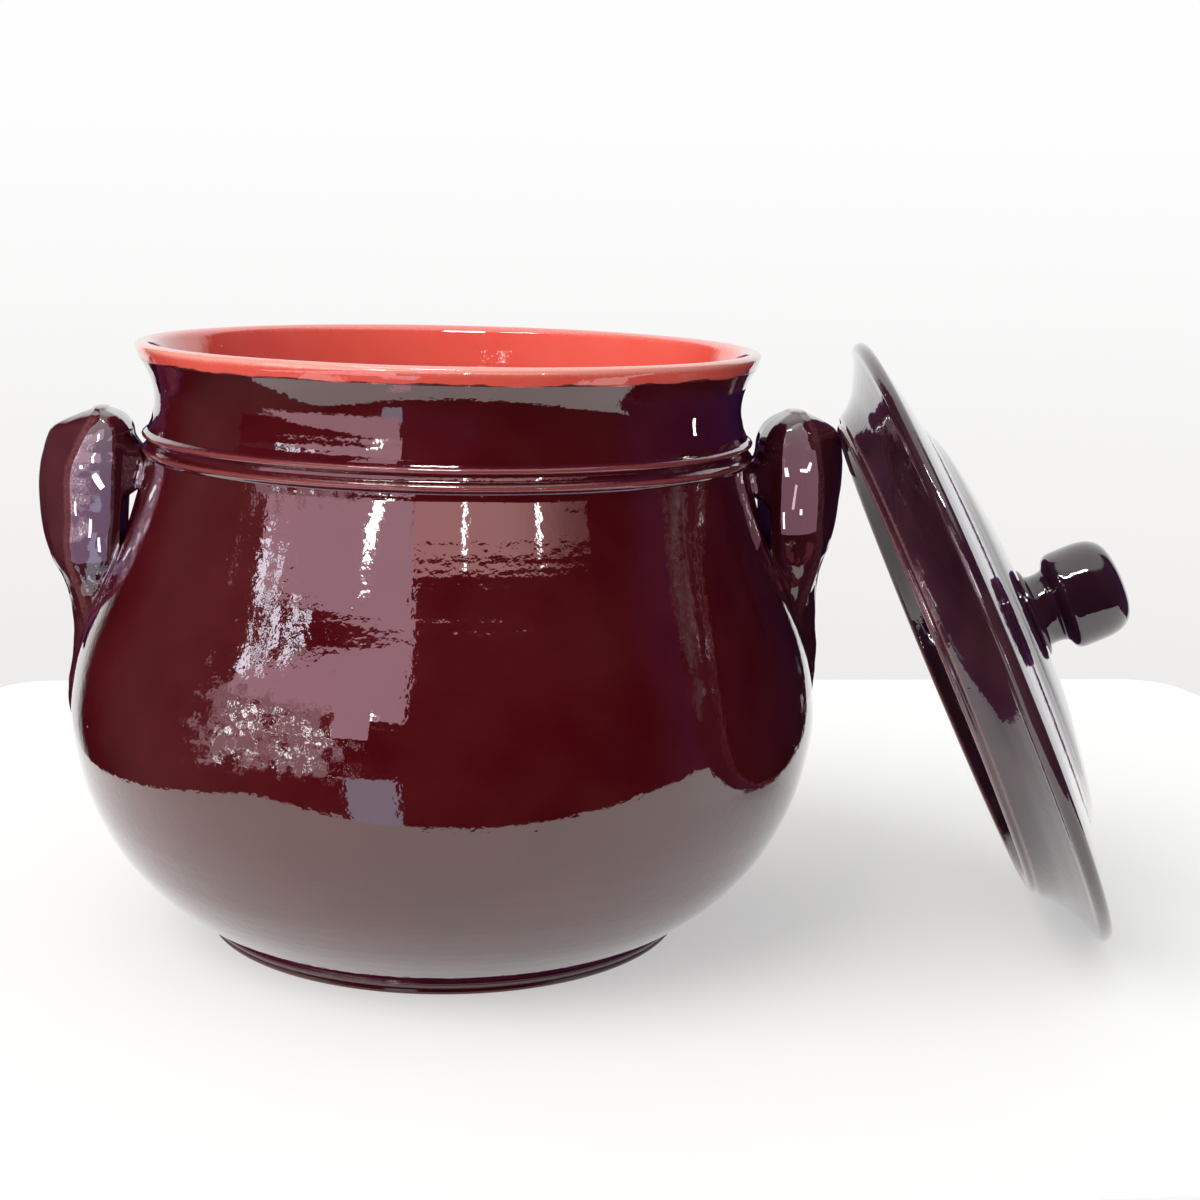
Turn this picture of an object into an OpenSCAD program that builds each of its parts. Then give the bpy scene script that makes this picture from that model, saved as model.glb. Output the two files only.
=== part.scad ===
/* [Pot] */
// Outer diameter of the rim at its lip
rim_d = 240; // [200:1:280]
// Height of the pot from the base to the top of the lip
pot_h = 230; // [190:1:270]
// Thickness of the fired clay wall with its glaze
wall = 6.5; // [5:0.1:9]
// Thickness of the pot's floor
floor_t = 7.5; // [6:0.1:10]
// Diameter of the foot that the pot stands on
foot_d = 189; // [170:1:200]
// Radius of the rounding round the foot
foot_round = 2.5; // [1.5:0.1:4]
// Thickness of each coat of glaze
glaze_t = 0.5; // [0.3:0.05:0.8]
// How far the upper cordon stands out below the neck
cordon_out = 2.4; // [1:0.1:3]
// How far the lower cordon stands out
second_cordon_out = 1.7; // [0.8:0.1:2.5]
// Half the height of a cordon
cordon_half_h = 2.9; // [2.4:0.1:3.4]

/* [Handles] */
// Width of each ear handle, measured round the pot
handle_w = 35; // [28:1:42]
// Softening of the handle's edges
handle_soft = 1.6; // [0.8:0.1:2.4]

/* [Lid] */
// How far the lid's edge stands out past the rim
lid_overhang = 8; // [5:0.5:11]
// Radius of the rounded bead on the lid's edge
bead_r = 2.85; // [2:0.05:3.2]
// Height of the dome's flat crown above the middle of the bead
dome_h = 21.4; // [18:0.1:28]
// Thickness of the lid's dome
lid_t = 6; // [5:0.1:8]
// Play between the locating flange and the mouth that it drops into
flange_gap = 5.7; // [3:0.1:9]
// Depth of the flange below the middle of the bead
flange_depth = 20.2; // [16:0.1:24]
// Thickness of the flange at its end
flange_t = 4.6; // [3.5:0.1:6]

/* [Knob] */
// Diameter of the knob's head
knob_d = 40.5; // [34:0.5:44]
// Height of the knob above the lid's crown
knob_h = 39.5; // [32:0.5:44]
// Diameter of the collar where the knob meets the lid
collar_d = 37.4; // [33:0.1:38]
// Height of that collar
collar_h = 3.8; // [3:0.1:5]
// Diameter of the knob's neck
knob_neck_d = 29; // [24:0.5:31]
// How far the knob stands off the lid's middle, towards the lid's upper side
knob_off = 1.5; // [0:0.1:3]

/* [Leaning lid] */
// Turn of the lid's axis towards the front
turn_deg = 8.6; // [4:0.1:12]
// Clearance between the leaning lid and the handle
lean_clear = 0.5; // [0.4:0.1:2]

/* [Hidden] */

round_fn = 144;
curve_steps = 4;
lug_steps = 3;
bead_steps = 8;
round_steps = 6;
half_turn = 180;
quarter_turn = 90;

rim_r = rim_d / 2;
foot_r = foot_d / 2;
lid_r = rim_r + lid_overhang;

// The outside of the wall from the foot's crease to the glaze line under the lip.
// Each pair is a share of the rim's radius and a share of the pot's height.
outside_shares = [
    [0.7967, 0.0200], [0.8050, 0.0261], [0.8792, 0.0530], [0.9600, 0.0868], [1.0283, 0.1238],
    [1.0950, 0.1715], [1.1575, 0.2366], [1.1958, 0.3018], [1.2175, 0.3756], [1.2050, 0.4451],
    [1.1717, 0.5124], [1.1217, 0.5775], [1.0667, 0.6426], [1.0242, 0.7056], [0.9950, 0.7577],
    [0.9783, 0.7946], [0.9717, 0.8163], [0.9675, 0.8337], [0.9592, 0.8571], [0.9492, 0.8793],
    [0.9433, 0.9032], [0.9492, 0.9292], [0.9667, 0.9531], [0.9867, 0.9726]];
// How many of those rows the lip replaces on the inside, and how many the floor replaces
lip_rows = 3;
floor_rows = 3;
// The lip, from the glaze line over the top to the inside of the neck.
lip_shares = [
    [0.9867, 0.9726], [0.9975, 0.9865], [0.9992, 0.9944], [0.9892, 0.9991], [0.9683, 1.0000],
    [0.9442, 0.9944], [0.9292, 0.9792], [0.9142, 0.9570], [0.8992, 0.9314]];
// The floor inside, from the lower wall to the middle.
floor_shares = [[0.8500, 1.9], [0.7300, 1.18], [0.6000, 1.02], [0.4500, 1.0], [0, 1.0]];
// Heights of the two cordons, as shares of the pot's height
cordon_share = 0.8480;
second_cordon_share = 0.8224;

// Rows of a handle: height share, then radius shares of the inner face, the inner corner,
// the outer ridge and the crest, then a share of half the handle's width.
right_shares = [
    [0.3065, 1.040, 1.100, 1.150, 1.190, 0.10], [0.3511, 1.060, 1.120, 1.195, 1.232, 0.34],
    [0.3907, 1.060, 1.120, 1.200, 1.244, 0.46], [0.4352, 1.050, 1.120, 1.196, 1.250, 0.52],
    [0.4699, 1.040, 1.110, 1.188, 1.253, 0.58], [0.5214, 1.030, 1.100, 1.175, 1.243, 0.66],
    [0.5649, 1.020, 1.090, 1.176, 1.240, 0.78], [0.6085, 1.010, 1.068, 1.200, 1.243, 0.88],
    [0.6402, 1.022, 1.056, 1.213, 1.258, 0.94], [0.6530, 1.040, 1.052, 1.216, 1.268, 0.96],
    [0.6827, 1.056, 1.049, 1.217, 1.284, 1.00], [0.7075, 1.056, 1.048, 1.213, 1.293, 1.00],
    [0.7280, 1.045, 1.047, 1.214, 1.297, 1.00], [0.7450, 1.005, 1.046, 1.214, 1.300, 1.00],
    [0.7640, 0.950, 1.045, 1.212, 1.305, 1.00], [0.7877, 0.950, 1.045, 1.209, 1.307, 1.00],
    [0.8006, 0.985, 1.045, 1.206, 1.307, 1.00], [0.8144, 1.012, 1.045, 1.202, 1.306, 0.99],
    [0.8411, 1.020, 1.045, 1.194, 1.299, 0.96], [0.8580, 1.034, 1.048, 1.186, 1.285, 0.92],
    [0.8699, 1.050, 1.058, 1.180, 1.262, 0.86], [0.8817, 1.078, 1.082, 1.172, 1.220, 0.74],
    [0.8916, 1.112, 1.116, 1.160, 1.178, 0.50]];
left_shares = [
    [0.3065, 1.040, 1.100, 1.150, 1.190, 0.10], [0.3462, 1.060, 1.120, 1.192, 1.230, 0.34],
    [0.3907, 1.060, 1.120, 1.200, 1.242, 0.46], [0.4352, 1.050, 1.120, 1.194, 1.234, 0.52],
    [0.4699, 1.040, 1.110, 1.180, 1.223, 0.58], [0.5144, 1.030, 1.100, 1.168, 1.218, 0.66],
    [0.5590, 1.020, 1.090, 1.176, 1.226, 0.78], [0.5986, 1.010, 1.072, 1.196, 1.247, 0.88],
    [0.6253, 1.008, 1.062, 1.209, 1.274, 0.94], [0.6450, 1.030, 1.053, 1.212, 1.287, 0.97],
    [0.6720, 1.052, 1.047, 1.213, 1.301, 1.00], [0.7006, 1.055, 1.044, 1.207, 1.309, 1.00],
    [0.7280, 1.045, 1.041, 1.206, 1.312, 1.00], [0.7450, 1.005, 1.039, 1.207, 1.313, 1.00],
    [0.7640, 0.950, 1.037, 1.207, 1.312, 1.00], [0.7837, 0.950, 1.035, 1.203, 1.308, 1.00],
    [0.7966, 0.950, 1.033, 1.198, 1.304, 1.00], [0.8105, 0.962, 1.032, 1.188, 1.297, 0.99],
    [0.8332, 1.004, 1.030, 1.168, 1.284, 0.96], [0.8501, 1.014, 1.028, 1.152, 1.266, 0.91],
    [0.8609, 1.026, 1.034, 1.142, 1.234, 0.86], [0.8728, 1.050, 1.056, 1.130, 1.182, 0.76],
    [0.8817, 1.088, 1.094, 1.122, 1.140, 0.52]];

// Points across half a level of a handle, between those of the rows above: the inner face's middle,
// the slope of the outer face and its rounded crest, each as a share of the way in and of the width.
inner_mid_share = 0.30;
inner_mid_width_share = 0.60;
slope_share = 0.66;
slope_width_share = 0.48;
crest_share = 0.95;
crest_width_share = 0.18;
// The most that the softening of an edge may take of a level's size
soft_limit_share = 0.333;

// The lid's upper face inside the bead: a share of the lid's radius, a share of the dome's height.
lid_top_shares = [
    [0.9640, 0.125], [0.9050, 0.235], [0.8200, 0.350], [0.7200, 0.465], [0.6700, 0.570],
    [0.6250, 0.680], [0.5630, 0.775], [0.4690, 0.885], [0.3750, 0.960], [0.2820, 0.990]];
// How many of those rows are the brim outside the hollow
brim_rows = 3;
// The underside from the bead to the flange's end: shares of the lid's radius and flange's depth.
lid_under_shares = [
    [0.9620, -0.170], [0.9250, -0.270], [0.8890, -0.390], [0.8560, -0.520], [0.8290, -0.690],
    [0.8090, -0.860]];
// The inside of the flange, up to the hollow of the dome: shares of the flange's inner radius
// and of the flange's depth.
lid_inner_shares = [[0.992, -0.780], [0.978, -0.450], [0.958, -0.130]];

// The knob's neck: how much wider than the neck and how high, both as shares of the collar's height.
knob_neck_shares = [[0.16, 1.1], [0, 1.6], [0, 2.4], [0.1, 2.8]];
// The knob's outline: a share of half its diameter, a share of its height.
knob_head_shares = [
    [0.760, 0.296], [0.880, 0.325], [0.962, 0.365], [0.994, 0.416], [1.000, 0.510],
    [1.000, 0.630], [0.985, 0.735], [0.925, 0.840], [0.800, 0.923], [0.610, 0.972],
    [0.360, 0.993], [0, 1.000]];

// Height on the handle that the leaning lid's flange rests on, as a share of the pot's height,
// and how far in front of the handle the lid's middle is, as a share of the rim's radius.
rest_share = 0.8657;
forward_share = 0.154;
// The steepest that the lid leans, and the arc of its upper side that can meet the pot
least_lean = 12;
meet_arc = 30;

function mix(a, b, t) = a + (b - a) * t;
function scaled(rows, w, h) = [for (row = rows) [row[0] * w, row[1] * h]];
// A smooth curve through four rows, at share t between the middle two.
function between(a, b, c, d, t) =
    0.5 * (2 * b + (c - a) * t + (2 * a - 5 * b + 4 * c - d) * t * t
    + (3 * b - a - 3 * c + d) * t * t * t);
function smooth(rows, steps) = let (last = len(rows) - 1) concat(
    [for (i = [0 : last - 1], k = [0 : steps - 1])
        between(rows[max(i - 1, 0)], rows[i], rows[i + 1], rows[min(i + 2, last)], k / steps)],
    [rows[last]]);
function part_of(rows, first, last) = [for (i = [first : last]) rows[i]];
function reversed(rows) = [for (i = [len(rows) - 1 : -1 : 0]) rows[i]];
// Rows moved sideways by d, to the left of the way that the line runs.
function moved(rows, d) = let (last = len(rows) - 1) [for (i = [0 : last])
    let (way = rows[min(i + 1, last)] - rows[max(i - 1, 0)], size = norm(way))
    [max(rows[i][0] - way[1] / size * d, 0), rows[i][1] + way[0] / size * d]];
function swell(z, middle) = abs(z - middle) < cordon_half_h
    ? pow(cos(quarter_turn * (z - middle) / cordon_half_h), 2) : 0;
function with_cordons(rows) = [for (row = rows) [row[0]
    + cordon_out * swell(row[1], cordon_share * pot_h)
    + second_cordon_out * swell(row[1], second_cordon_share * pot_h), row[1]]];

plain_wall = smooth(scaled(outside_shares, rim_r, pot_h), curve_steps);
foot_arc = [for (i = [0 : curve_steps]) let (turn = -quarter_turn + quarter_turn * i / curve_steps)
    [foot_r - foot_round + foot_round * cos(turn), foot_round + foot_round * sin(turn)]];
outside = concat([[foot_r, foot_round]], with_cordons(plain_wall));
lip = smooth(scaled(lip_shares, rim_r, pot_h), curve_steps);
inner_wall = let (rows = moved(plain_wall, wall), last = len(rows) - 1)
    [for (i = [last - curve_steps * lip_rows : -1 : curve_steps * floor_rows]) rows[i]];
inner_floor = smooth([for (row = floor_shares) [row[0] * rim_r, row[1] * floor_t]], curve_steps);
// One line runs up the outside, over the lip and down to the middle of the floor. The clay follows it
// one coat of glaze deeper, and the two coats meet at the glaze line, where the lip begins.
glaze_line = len(outside) - 1;
surface = concat(outside, part_of(lip, 1, len(lip) - 1), inner_wall, inner_floor);
clay_line = moved(surface, glaze_t);
surface_end = len(surface) - 1;

module pot_body() {
    color("peru") rotate_extrude($fn = round_fn)
        polygon(concat([[0, 0]], part_of(foot_arc, 0, curve_steps - 1), clay_line));
}

// The coat of glaze between two points of the line.
module coat(first, last) {
    rotate_extrude($fn = round_fn)
        polygon(concat(part_of(surface, first, last), reversed(part_of(clay_line, first, last))));
}

module filled_clay() {
    rotate_extrude($fn = round_fn) polygon(concat(
        [[0, 0]], part_of(foot_arc, 0, curve_steps - 1), part_of(clay_line, 0, glaze_line), [[0, pot_h]]));
}

// One level of a handle, read clockwise from above.
function level(row) = let (
    z = row[0] * pot_h, in_r = row[1] * rim_r, corner_r = row[2] * rim_r, ridge_r = row[3] * rim_r,
    crest_r = row[4] * rim_r, half_w = row[5] * handle_w / 2,
    soft = min(handle_soft, half_w * soft_limit_share, (ridge_r - corner_r) * soft_limit_share),
    side = [[in_r, 0, z],
        [mix(in_r, corner_r, inner_mid_share), half_w * inner_mid_width_share, z],
        [corner_r, half_w - soft, z], [corner_r + soft, half_w, z],
        [ridge_r - soft, half_w, z], [ridge_r + soft / 2, half_w - soft, z],
        [mix(ridge_r, crest_r, slope_share), half_w * slope_width_share, z],
        [mix(ridge_r, crest_r, crest_share), half_w * crest_width_share, z],
        [crest_r, 0, z]])
    concat(side, [for (i = [len(side) - 2 : -1 : 1]) [side[i][0], -side[i][1], z]]);

module lug(shares) {
    levels = [for (row = smooth(shares, lug_steps)) level(row)];
    m = len(levels[0]);
    n = len(levels);
    polyhedron(
        points = [for (ring = levels, p = ring) p],
        faces = concat(
            [[for (j = [m - 1 : -1 : 0]) j], [for (j = [0 : m - 1]) (n - 1) * m + j]],
            [for (i = [0 : n - 2], j = [0 : m - 1])
                [i * m + (j + 1) % m, (i + 1) * m + (j + 1) % m, (i + 1) * m + j]],
            [for (i = [0 : n - 2], j = [0 : m - 1])
                [i * m + (j + 1) % m, (i + 1) * m + j, i * m + j]]));
}

module left_lug() { rotate([0, 0, half_turn]) lug(left_shares); }
module right_lug() { lug(right_shares); }

module outer_glaze() {
    color("saddlebrown") difference() {
        coat(0, glaze_line);
        left_lug();
        right_lug();
    }
}

module inner_glaze() {
    color("tomato") coat(glaze_line, surface_end);
}

module handle_left() {
    color("maroon") difference() { left_lug(); filled_clay(); }
}

module handle_right() {
    color("maroon") difference() { right_lug(); filled_clay(); }
}

// The flange drops into the narrowest part of the mouth.
mouth_r = min([for (row = inner_wall) if (row[1] > pot_h / 2) row[0]]);
flange_r = mouth_r - flange_gap;
flange_in_r = flange_r - flange_t;
// The crown is flat where the knob's collar stands on it.
crown = [[collar_d / 2 + collar_h, dome_h], [collar_d / 2, dome_h], [0, dome_h]];
lid_upper = smooth(concat(scaled(lid_top_shares, lid_r, dome_h), crown), curve_steps);
lid_lower = smooth(scaled(lid_under_shares, lid_r, flange_depth), curve_steps);
bead_arc = [for (i = [0 : bead_steps]) let (turn = -quarter_turn + half_turn * i / bead_steps)
    [lid_r - bead_r + bead_r * cos(turn), bead_r * sin(turn)]];
flange_round = flange_t / 2;
flange_arc = [for (i = [0 : round_steps]) let (turn = half_turn + half_turn * i / round_steps)
    [flange_r - flange_round + flange_round * cos(turn),
     -flange_depth + flange_round + flange_round * sin(turn)]];
flange_wall = scaled(lid_inner_shares, flange_in_r, flange_depth);
// The hollow's ceiling runs one thickness under the upper face.
ceiling = let (rows = moved(lid_upper, lid_t))
    reversed(part_of(rows, curve_steps * brim_rows, len(rows) - 1));

module lid_profile() {
    polygon(concat(ceiling, reversed(flange_wall), flange_arc, reversed(lid_lower), bead_arc, lid_upper));
}

module knob_profile() {
    head = smooth(scaled(knob_head_shares, knob_d / 2, knob_h), curve_steps);
    collar_round = collar_h / 2;
    neck_r = knob_neck_d / 2;
    collar_arc = [for (i = [0 : round_steps]) let (turn = -quarter_turn + half_turn * i / round_steps)
        [collar_d / 2 - collar_round + collar_round * cos(turn), collar_round + collar_round * sin(turn)]];
    neck = [for (row = knob_neck_shares) [neck_r + row[0] * collar_h, row[1] * collar_h]];
    polygon(concat([[0, 0]], collar_arc, neck, head));
}

// The lid stands on its bead and leans until the round of its flange is level with the place on the
// handle that it rests on. reach is the height to span, and span is what the lid has for it.
span_side = lid_r - bead_r + flange_r - flange_round;
span_depth = flange_depth - flange_round;
reach = rest_share * pot_h - bead_r;
span = norm([span_side, span_depth]);
lean_deg = max(least_lean, acos(min(1, reach / span)) - atan(span_depth / span_side));
lid_z = (lid_r - bead_r) * cos(lean_deg) + bead_r;
lid_y = -rim_r * forward_share;
lid_axis = [cos(lean_deg) * cos(turn_deg), -cos(lean_deg) * sin(turn_deg), sin(lean_deg)];
lid_up = [-sin(lean_deg) * cos(turn_deg), sin(lean_deg) * sin(turn_deg), cos(lean_deg)];
lid_side = [sin(turn_deg), cos(turn_deg), 0];

// How far out the right handle, or else the pot, reaches in front of the point (y, z).
handle_rows = smooth(right_shares, lug_steps);
crest_line = [for (row = handle_rows) [row[0] * pot_h, row[4] * rim_r]];
ridge_line = [for (row = handle_rows) [row[0] * pot_h, row[3] * rim_r]];
width_line = [for (row = handle_rows) [row[0] * pot_h, row[5] * handle_w / 2]];
wall_line = [for (row = outside) [row[1], row[0]]];
handle_top = crest_line[len(crest_line) - 1][0];
function handle_reach(y, z) = let (crest = lookup(z, crest_line), ridge = lookup(z, ridge_line),
    half_w = lookup(z, width_line))
    z > handle_top || abs(y) > half_w ? 0 : lookup(abs(y), [[0, crest],
        [half_w * crest_width_share, mix(ridge, crest, crest_share)],
        [half_w * slope_width_share, mix(ridge, crest, slope_share)], [half_w, ridge]]);
function wall_reach(y, z) = let (r = lookup(z, wall_line))
    z > pot_h || abs(y) > r ? 0 : sqrt(r * r - y * y);
// The lid stands just so far out that none of its underside meets the handle or the pot.
lid_x = lean_clear + max([for (row = concat(flange_arc, flange_wall, ceiling, lid_lower),
        turn = [-meet_arc : meet_arc])
    let (p = row[0] * (cos(turn) * lid_up + sin(turn) * lid_side) + row[1] * lid_axis + [0, lid_y, lid_z])
    max(handle_reach(p[1], p[2]), wall_reach(p[1], p[2])) - p[0]]);

module leaning() {
    translate([lid_x, lid_y, lid_z]) rotate([0, quarter_turn - lean_deg, -turn_deg]) children();
}

module lid_plate() {
    color("sienna") leaning() rotate_extrude($fn = round_fn) lid_profile();
}

module lid_knob() {
    color("brown") leaning() translate([-knob_off, 0, dome_h])
        rotate_extrude($fn = round_fn) knob_profile();
}

pot_body();
outer_glaze();
inner_glaze();
handle_left();
handle_right();
lid_plate();
lid_knob();
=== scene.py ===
import math

import bpy
import numpy as np
from bpy.props import FloatProperty, FloatVectorProperty, IntProperty, PointerProperty
from mathutils import Matrix, Vector, noise


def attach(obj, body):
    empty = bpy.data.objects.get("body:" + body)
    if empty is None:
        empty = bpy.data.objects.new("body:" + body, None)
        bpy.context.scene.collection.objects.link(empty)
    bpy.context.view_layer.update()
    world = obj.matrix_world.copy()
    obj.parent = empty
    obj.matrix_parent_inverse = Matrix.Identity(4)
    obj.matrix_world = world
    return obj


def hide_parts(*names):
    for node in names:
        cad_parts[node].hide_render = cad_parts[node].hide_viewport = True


bl_info = {
    "name": "Glazed terracotta cooking pot",
    "version": (1, 0, 0),
    "blender": (4, 5, 0),
    "location": "View3D > Sidebar > Cooking pot",
    "description": "Dresses the packed cooking pot with its glazes, handles, lid and studio",
    "category": "Object",
}

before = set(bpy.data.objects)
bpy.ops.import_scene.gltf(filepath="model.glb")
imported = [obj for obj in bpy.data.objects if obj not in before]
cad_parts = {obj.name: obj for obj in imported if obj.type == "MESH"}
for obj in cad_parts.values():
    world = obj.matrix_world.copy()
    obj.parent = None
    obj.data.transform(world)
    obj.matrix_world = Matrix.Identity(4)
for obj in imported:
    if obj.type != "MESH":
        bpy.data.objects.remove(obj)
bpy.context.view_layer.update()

# Turned shapes, as shares of the rim's radius and of the pot's height
OUTSIDE = (
    (0.7967, 0.0200), (0.8050, 0.0261), (0.8792, 0.0530), (0.9600, 0.0868), (1.0283, 0.1238),
    (1.0950, 0.1715), (1.1575, 0.2366), (1.1958, 0.3018), (1.2175, 0.3756), (1.2050, 0.4451),
    (1.1717, 0.5124), (1.1217, 0.5775), (1.0667, 0.6426), (1.0242, 0.7056), (0.9950, 0.7577),
    (0.9783, 0.7946), (0.9717, 0.8163), (0.9675, 0.8337), (0.9592, 0.8571), (0.9492, 0.8793),
    (0.9433, 0.9032), (0.9492, 0.9292), (0.9667, 0.9531), (0.9867, 0.9726))
LIP = (
    (0.9867, 0.9726), (0.9975, 0.9865), (0.9992, 0.9944), (0.9892, 0.9991), (0.9683, 1.0000),
    (0.9442, 0.9944), (0.9292, 0.9792), (0.9142, 0.9570), (0.8992, 0.9314))
# Rows of the outside that the inside leaves out at the lip and at the floor
LIP_ROWS = 3
FLOOR_ROWS = 3
# Steps from one row to the next: outside, inside, and along the lip, the floor and the handles
OUTER_STEPS = 10
INNER_STEPS = 4
LIP_STEPS = 8
# Glaze runs thin where the line turns outwards: fully at this turn, in radians, within this length
THIN_TURN = 1.2
THIN_REACH = 0.0012
# Rows at the foot and beside the line between the glazes where the relief dies out
FOOT_ROWS = 6
LINE_ROWS = 12
# The floor inside: a share of the rim's radius and a multiple of the floor's thickness
FLOOR = ((0.8500, 1.9), (0.7300, 1.18), (0.6000, 1.02), (0.4500, 1.0), (0.0, 1.0))
CORDONS = (0.8480, 0.8224)
# Rows of a handle: height, inner face, inner corner, ridge, crest and half width
RIGHT_HANDLE = (
    (0.3065, 1.040, 1.100, 1.150, 1.190, 0.10), (0.3511, 1.060, 1.120, 1.195, 1.232, 0.34),
    (0.3907, 1.060, 1.120, 1.200, 1.244, 0.46), (0.4352, 1.050, 1.120, 1.196, 1.250, 0.52),
    (0.4699, 1.040, 1.110, 1.188, 1.253, 0.58), (0.5214, 1.030, 1.100, 1.175, 1.243, 0.66),
    (0.5649, 1.020, 1.090, 1.176, 1.240, 0.78), (0.6085, 1.010, 1.068, 1.200, 1.243, 0.88),
    (0.6402, 1.022, 1.056, 1.213, 1.258, 0.94), (0.6530, 1.040, 1.052, 1.216, 1.268, 0.96),
    (0.6827, 1.056, 1.049, 1.217, 1.284, 1.00), (0.7075, 1.056, 1.048, 1.213, 1.293, 1.00),
    (0.7280, 1.045, 1.047, 1.214, 1.297, 1.00), (0.7450, 1.005, 1.046, 1.214, 1.300, 1.00),
    (0.7640, 0.950, 1.045, 1.212, 1.305, 1.00), (0.7877, 0.950, 1.045, 1.209, 1.307, 1.00),
    (0.8006, 0.985, 1.045, 1.206, 1.307, 1.00), (0.8144, 1.012, 1.045, 1.202, 1.306, 0.99),
    (0.8411, 1.020, 1.045, 1.194, 1.299, 0.96), (0.8580, 1.034, 1.048, 1.186, 1.285, 0.92),
    (0.8699, 1.050, 1.058, 1.180, 1.262, 0.86), (0.8817, 1.078, 1.082, 1.172, 1.220, 0.74),
    (0.8916, 1.112, 1.116, 1.160, 1.178, 0.50))
LEFT_HANDLE = (
    (0.3065, 1.040, 1.100, 1.150, 1.190, 0.10), (0.3462, 1.060, 1.120, 1.192, 1.230, 0.34),
    (0.3907, 1.060, 1.120, 1.200, 1.242, 0.46), (0.4352, 1.050, 1.120, 1.194, 1.234, 0.52),
    (0.4699, 1.040, 1.110, 1.180, 1.223, 0.58), (0.5144, 1.030, 1.100, 1.168, 1.218, 0.66),
    (0.5590, 1.020, 1.090, 1.176, 1.226, 0.78), (0.5986, 1.010, 1.072, 1.196, 1.247, 0.88),
    (0.6253, 1.008, 1.062, 1.209, 1.274, 0.94), (0.6450, 1.030, 1.053, 1.212, 1.287, 0.97),
    (0.6720, 1.052, 1.047, 1.213, 1.301, 1.00), (0.7006, 1.055, 1.044, 1.207, 1.309, 1.00),
    (0.7280, 1.045, 1.041, 1.206, 1.312, 1.00), (0.7450, 1.005, 1.039, 1.207, 1.313, 1.00),
    (0.7640, 0.950, 1.037, 1.207, 1.312, 1.00), (0.7837, 0.950, 1.035, 1.203, 1.308, 1.00),
    (0.7966, 0.950, 1.033, 1.198, 1.304, 1.00), (0.8105, 0.962, 1.032, 1.188, 1.297, 0.99),
    (0.8332, 1.004, 1.030, 1.168, 1.284, 0.96), (0.8501, 1.014, 1.028, 1.152, 1.266, 0.91),
    (0.8609, 1.026, 1.034, 1.142, 1.234, 0.86), (0.8728, 1.050, 1.056, 1.130, 1.182, 0.76),
    (0.8817, 1.088, 1.094, 1.122, 1.140, 0.52))
# Across half a level of a handle: shares of the way in and of the width
INNER_MID = (0.30, 0.60)
SLOPE = (0.66, 0.48)
CREST = (0.95, 0.18)
SOFT_LIMIT = 0.333
# Wear of the glaze on a handle's ridges, and how far from its ends a long edge is kept
RIDGE_WEAR = 0.42
KEPT_END = 0.0022
# The low cap on a handle's top: how far its rings are drawn in, and its height
CAP_SHARES = (0.93, 0.80, 0.60, 0.35, 0.12)
CAP_HEIGHT = 0.0012
# Marks in the soft clay of a handle, per metre: thumb marks 18 mm wide, smears on the tail 5 mm
THUMB_MARKS = 55
SMEARS = 210
# The lid's upper face, its underside to the flange, and the flange's inner wall
LID_TOP = (
    (0.9640, 0.125), (0.9050, 0.235), (0.8200, 0.350), (0.7200, 0.465), (0.6700, 0.570),
    (0.6250, 0.680), (0.5630, 0.775), (0.4690, 0.885), (0.3750, 0.960), (0.2820, 0.990))
LID_UNDER = (
    (0.9620, -0.170), (0.9250, -0.270), (0.8890, -0.390), (0.8560, -0.520), (0.8290, -0.690),
    (0.8090, -0.860))
LID_INNER = ((0.992, -0.780), (0.978, -0.450), (0.958, -0.130))
# Rows of the upper face that the ceiling leaves out at the brim
BRIM_ROWS = 3
# The lid's glaze hardly thins, except on the flange's end. Its bead stays a hair inside the solid's bead.
LID_THINNING = 0.12
HAIR = 0.00002
KNOB_STEPS = 128
KNOB_NECK = ((0.16, 1.1), (0.0, 1.6), (0.0, 2.4), (0.1, 2.8))
KNOB_HEAD = (
    (0.760, 0.296), (0.880, 0.325), (0.962, 0.365), (0.994, 0.416), (1.000, 0.510),
    (1.000, 0.630), (0.985, 0.735), (0.925, 0.840), (0.800, 0.923), (0.610, 0.972),
    (0.360, 0.993), (0.0, 1.000))
# Where the leaning lid rests, as shares of the pot's height and of the rim's radius
REST_HEIGHT = 0.8657
FORWARD = 0.154
# The table's corners from the front left one on, the rounding of them and the cloth's drop
TABLE = ((-0.30, -0.26), (0.62, -0.26), (0.47, 0.405), (-0.245, 0.405))
TABLE_ROUND = 0.03
TABLE_DROP = 0.45
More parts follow.
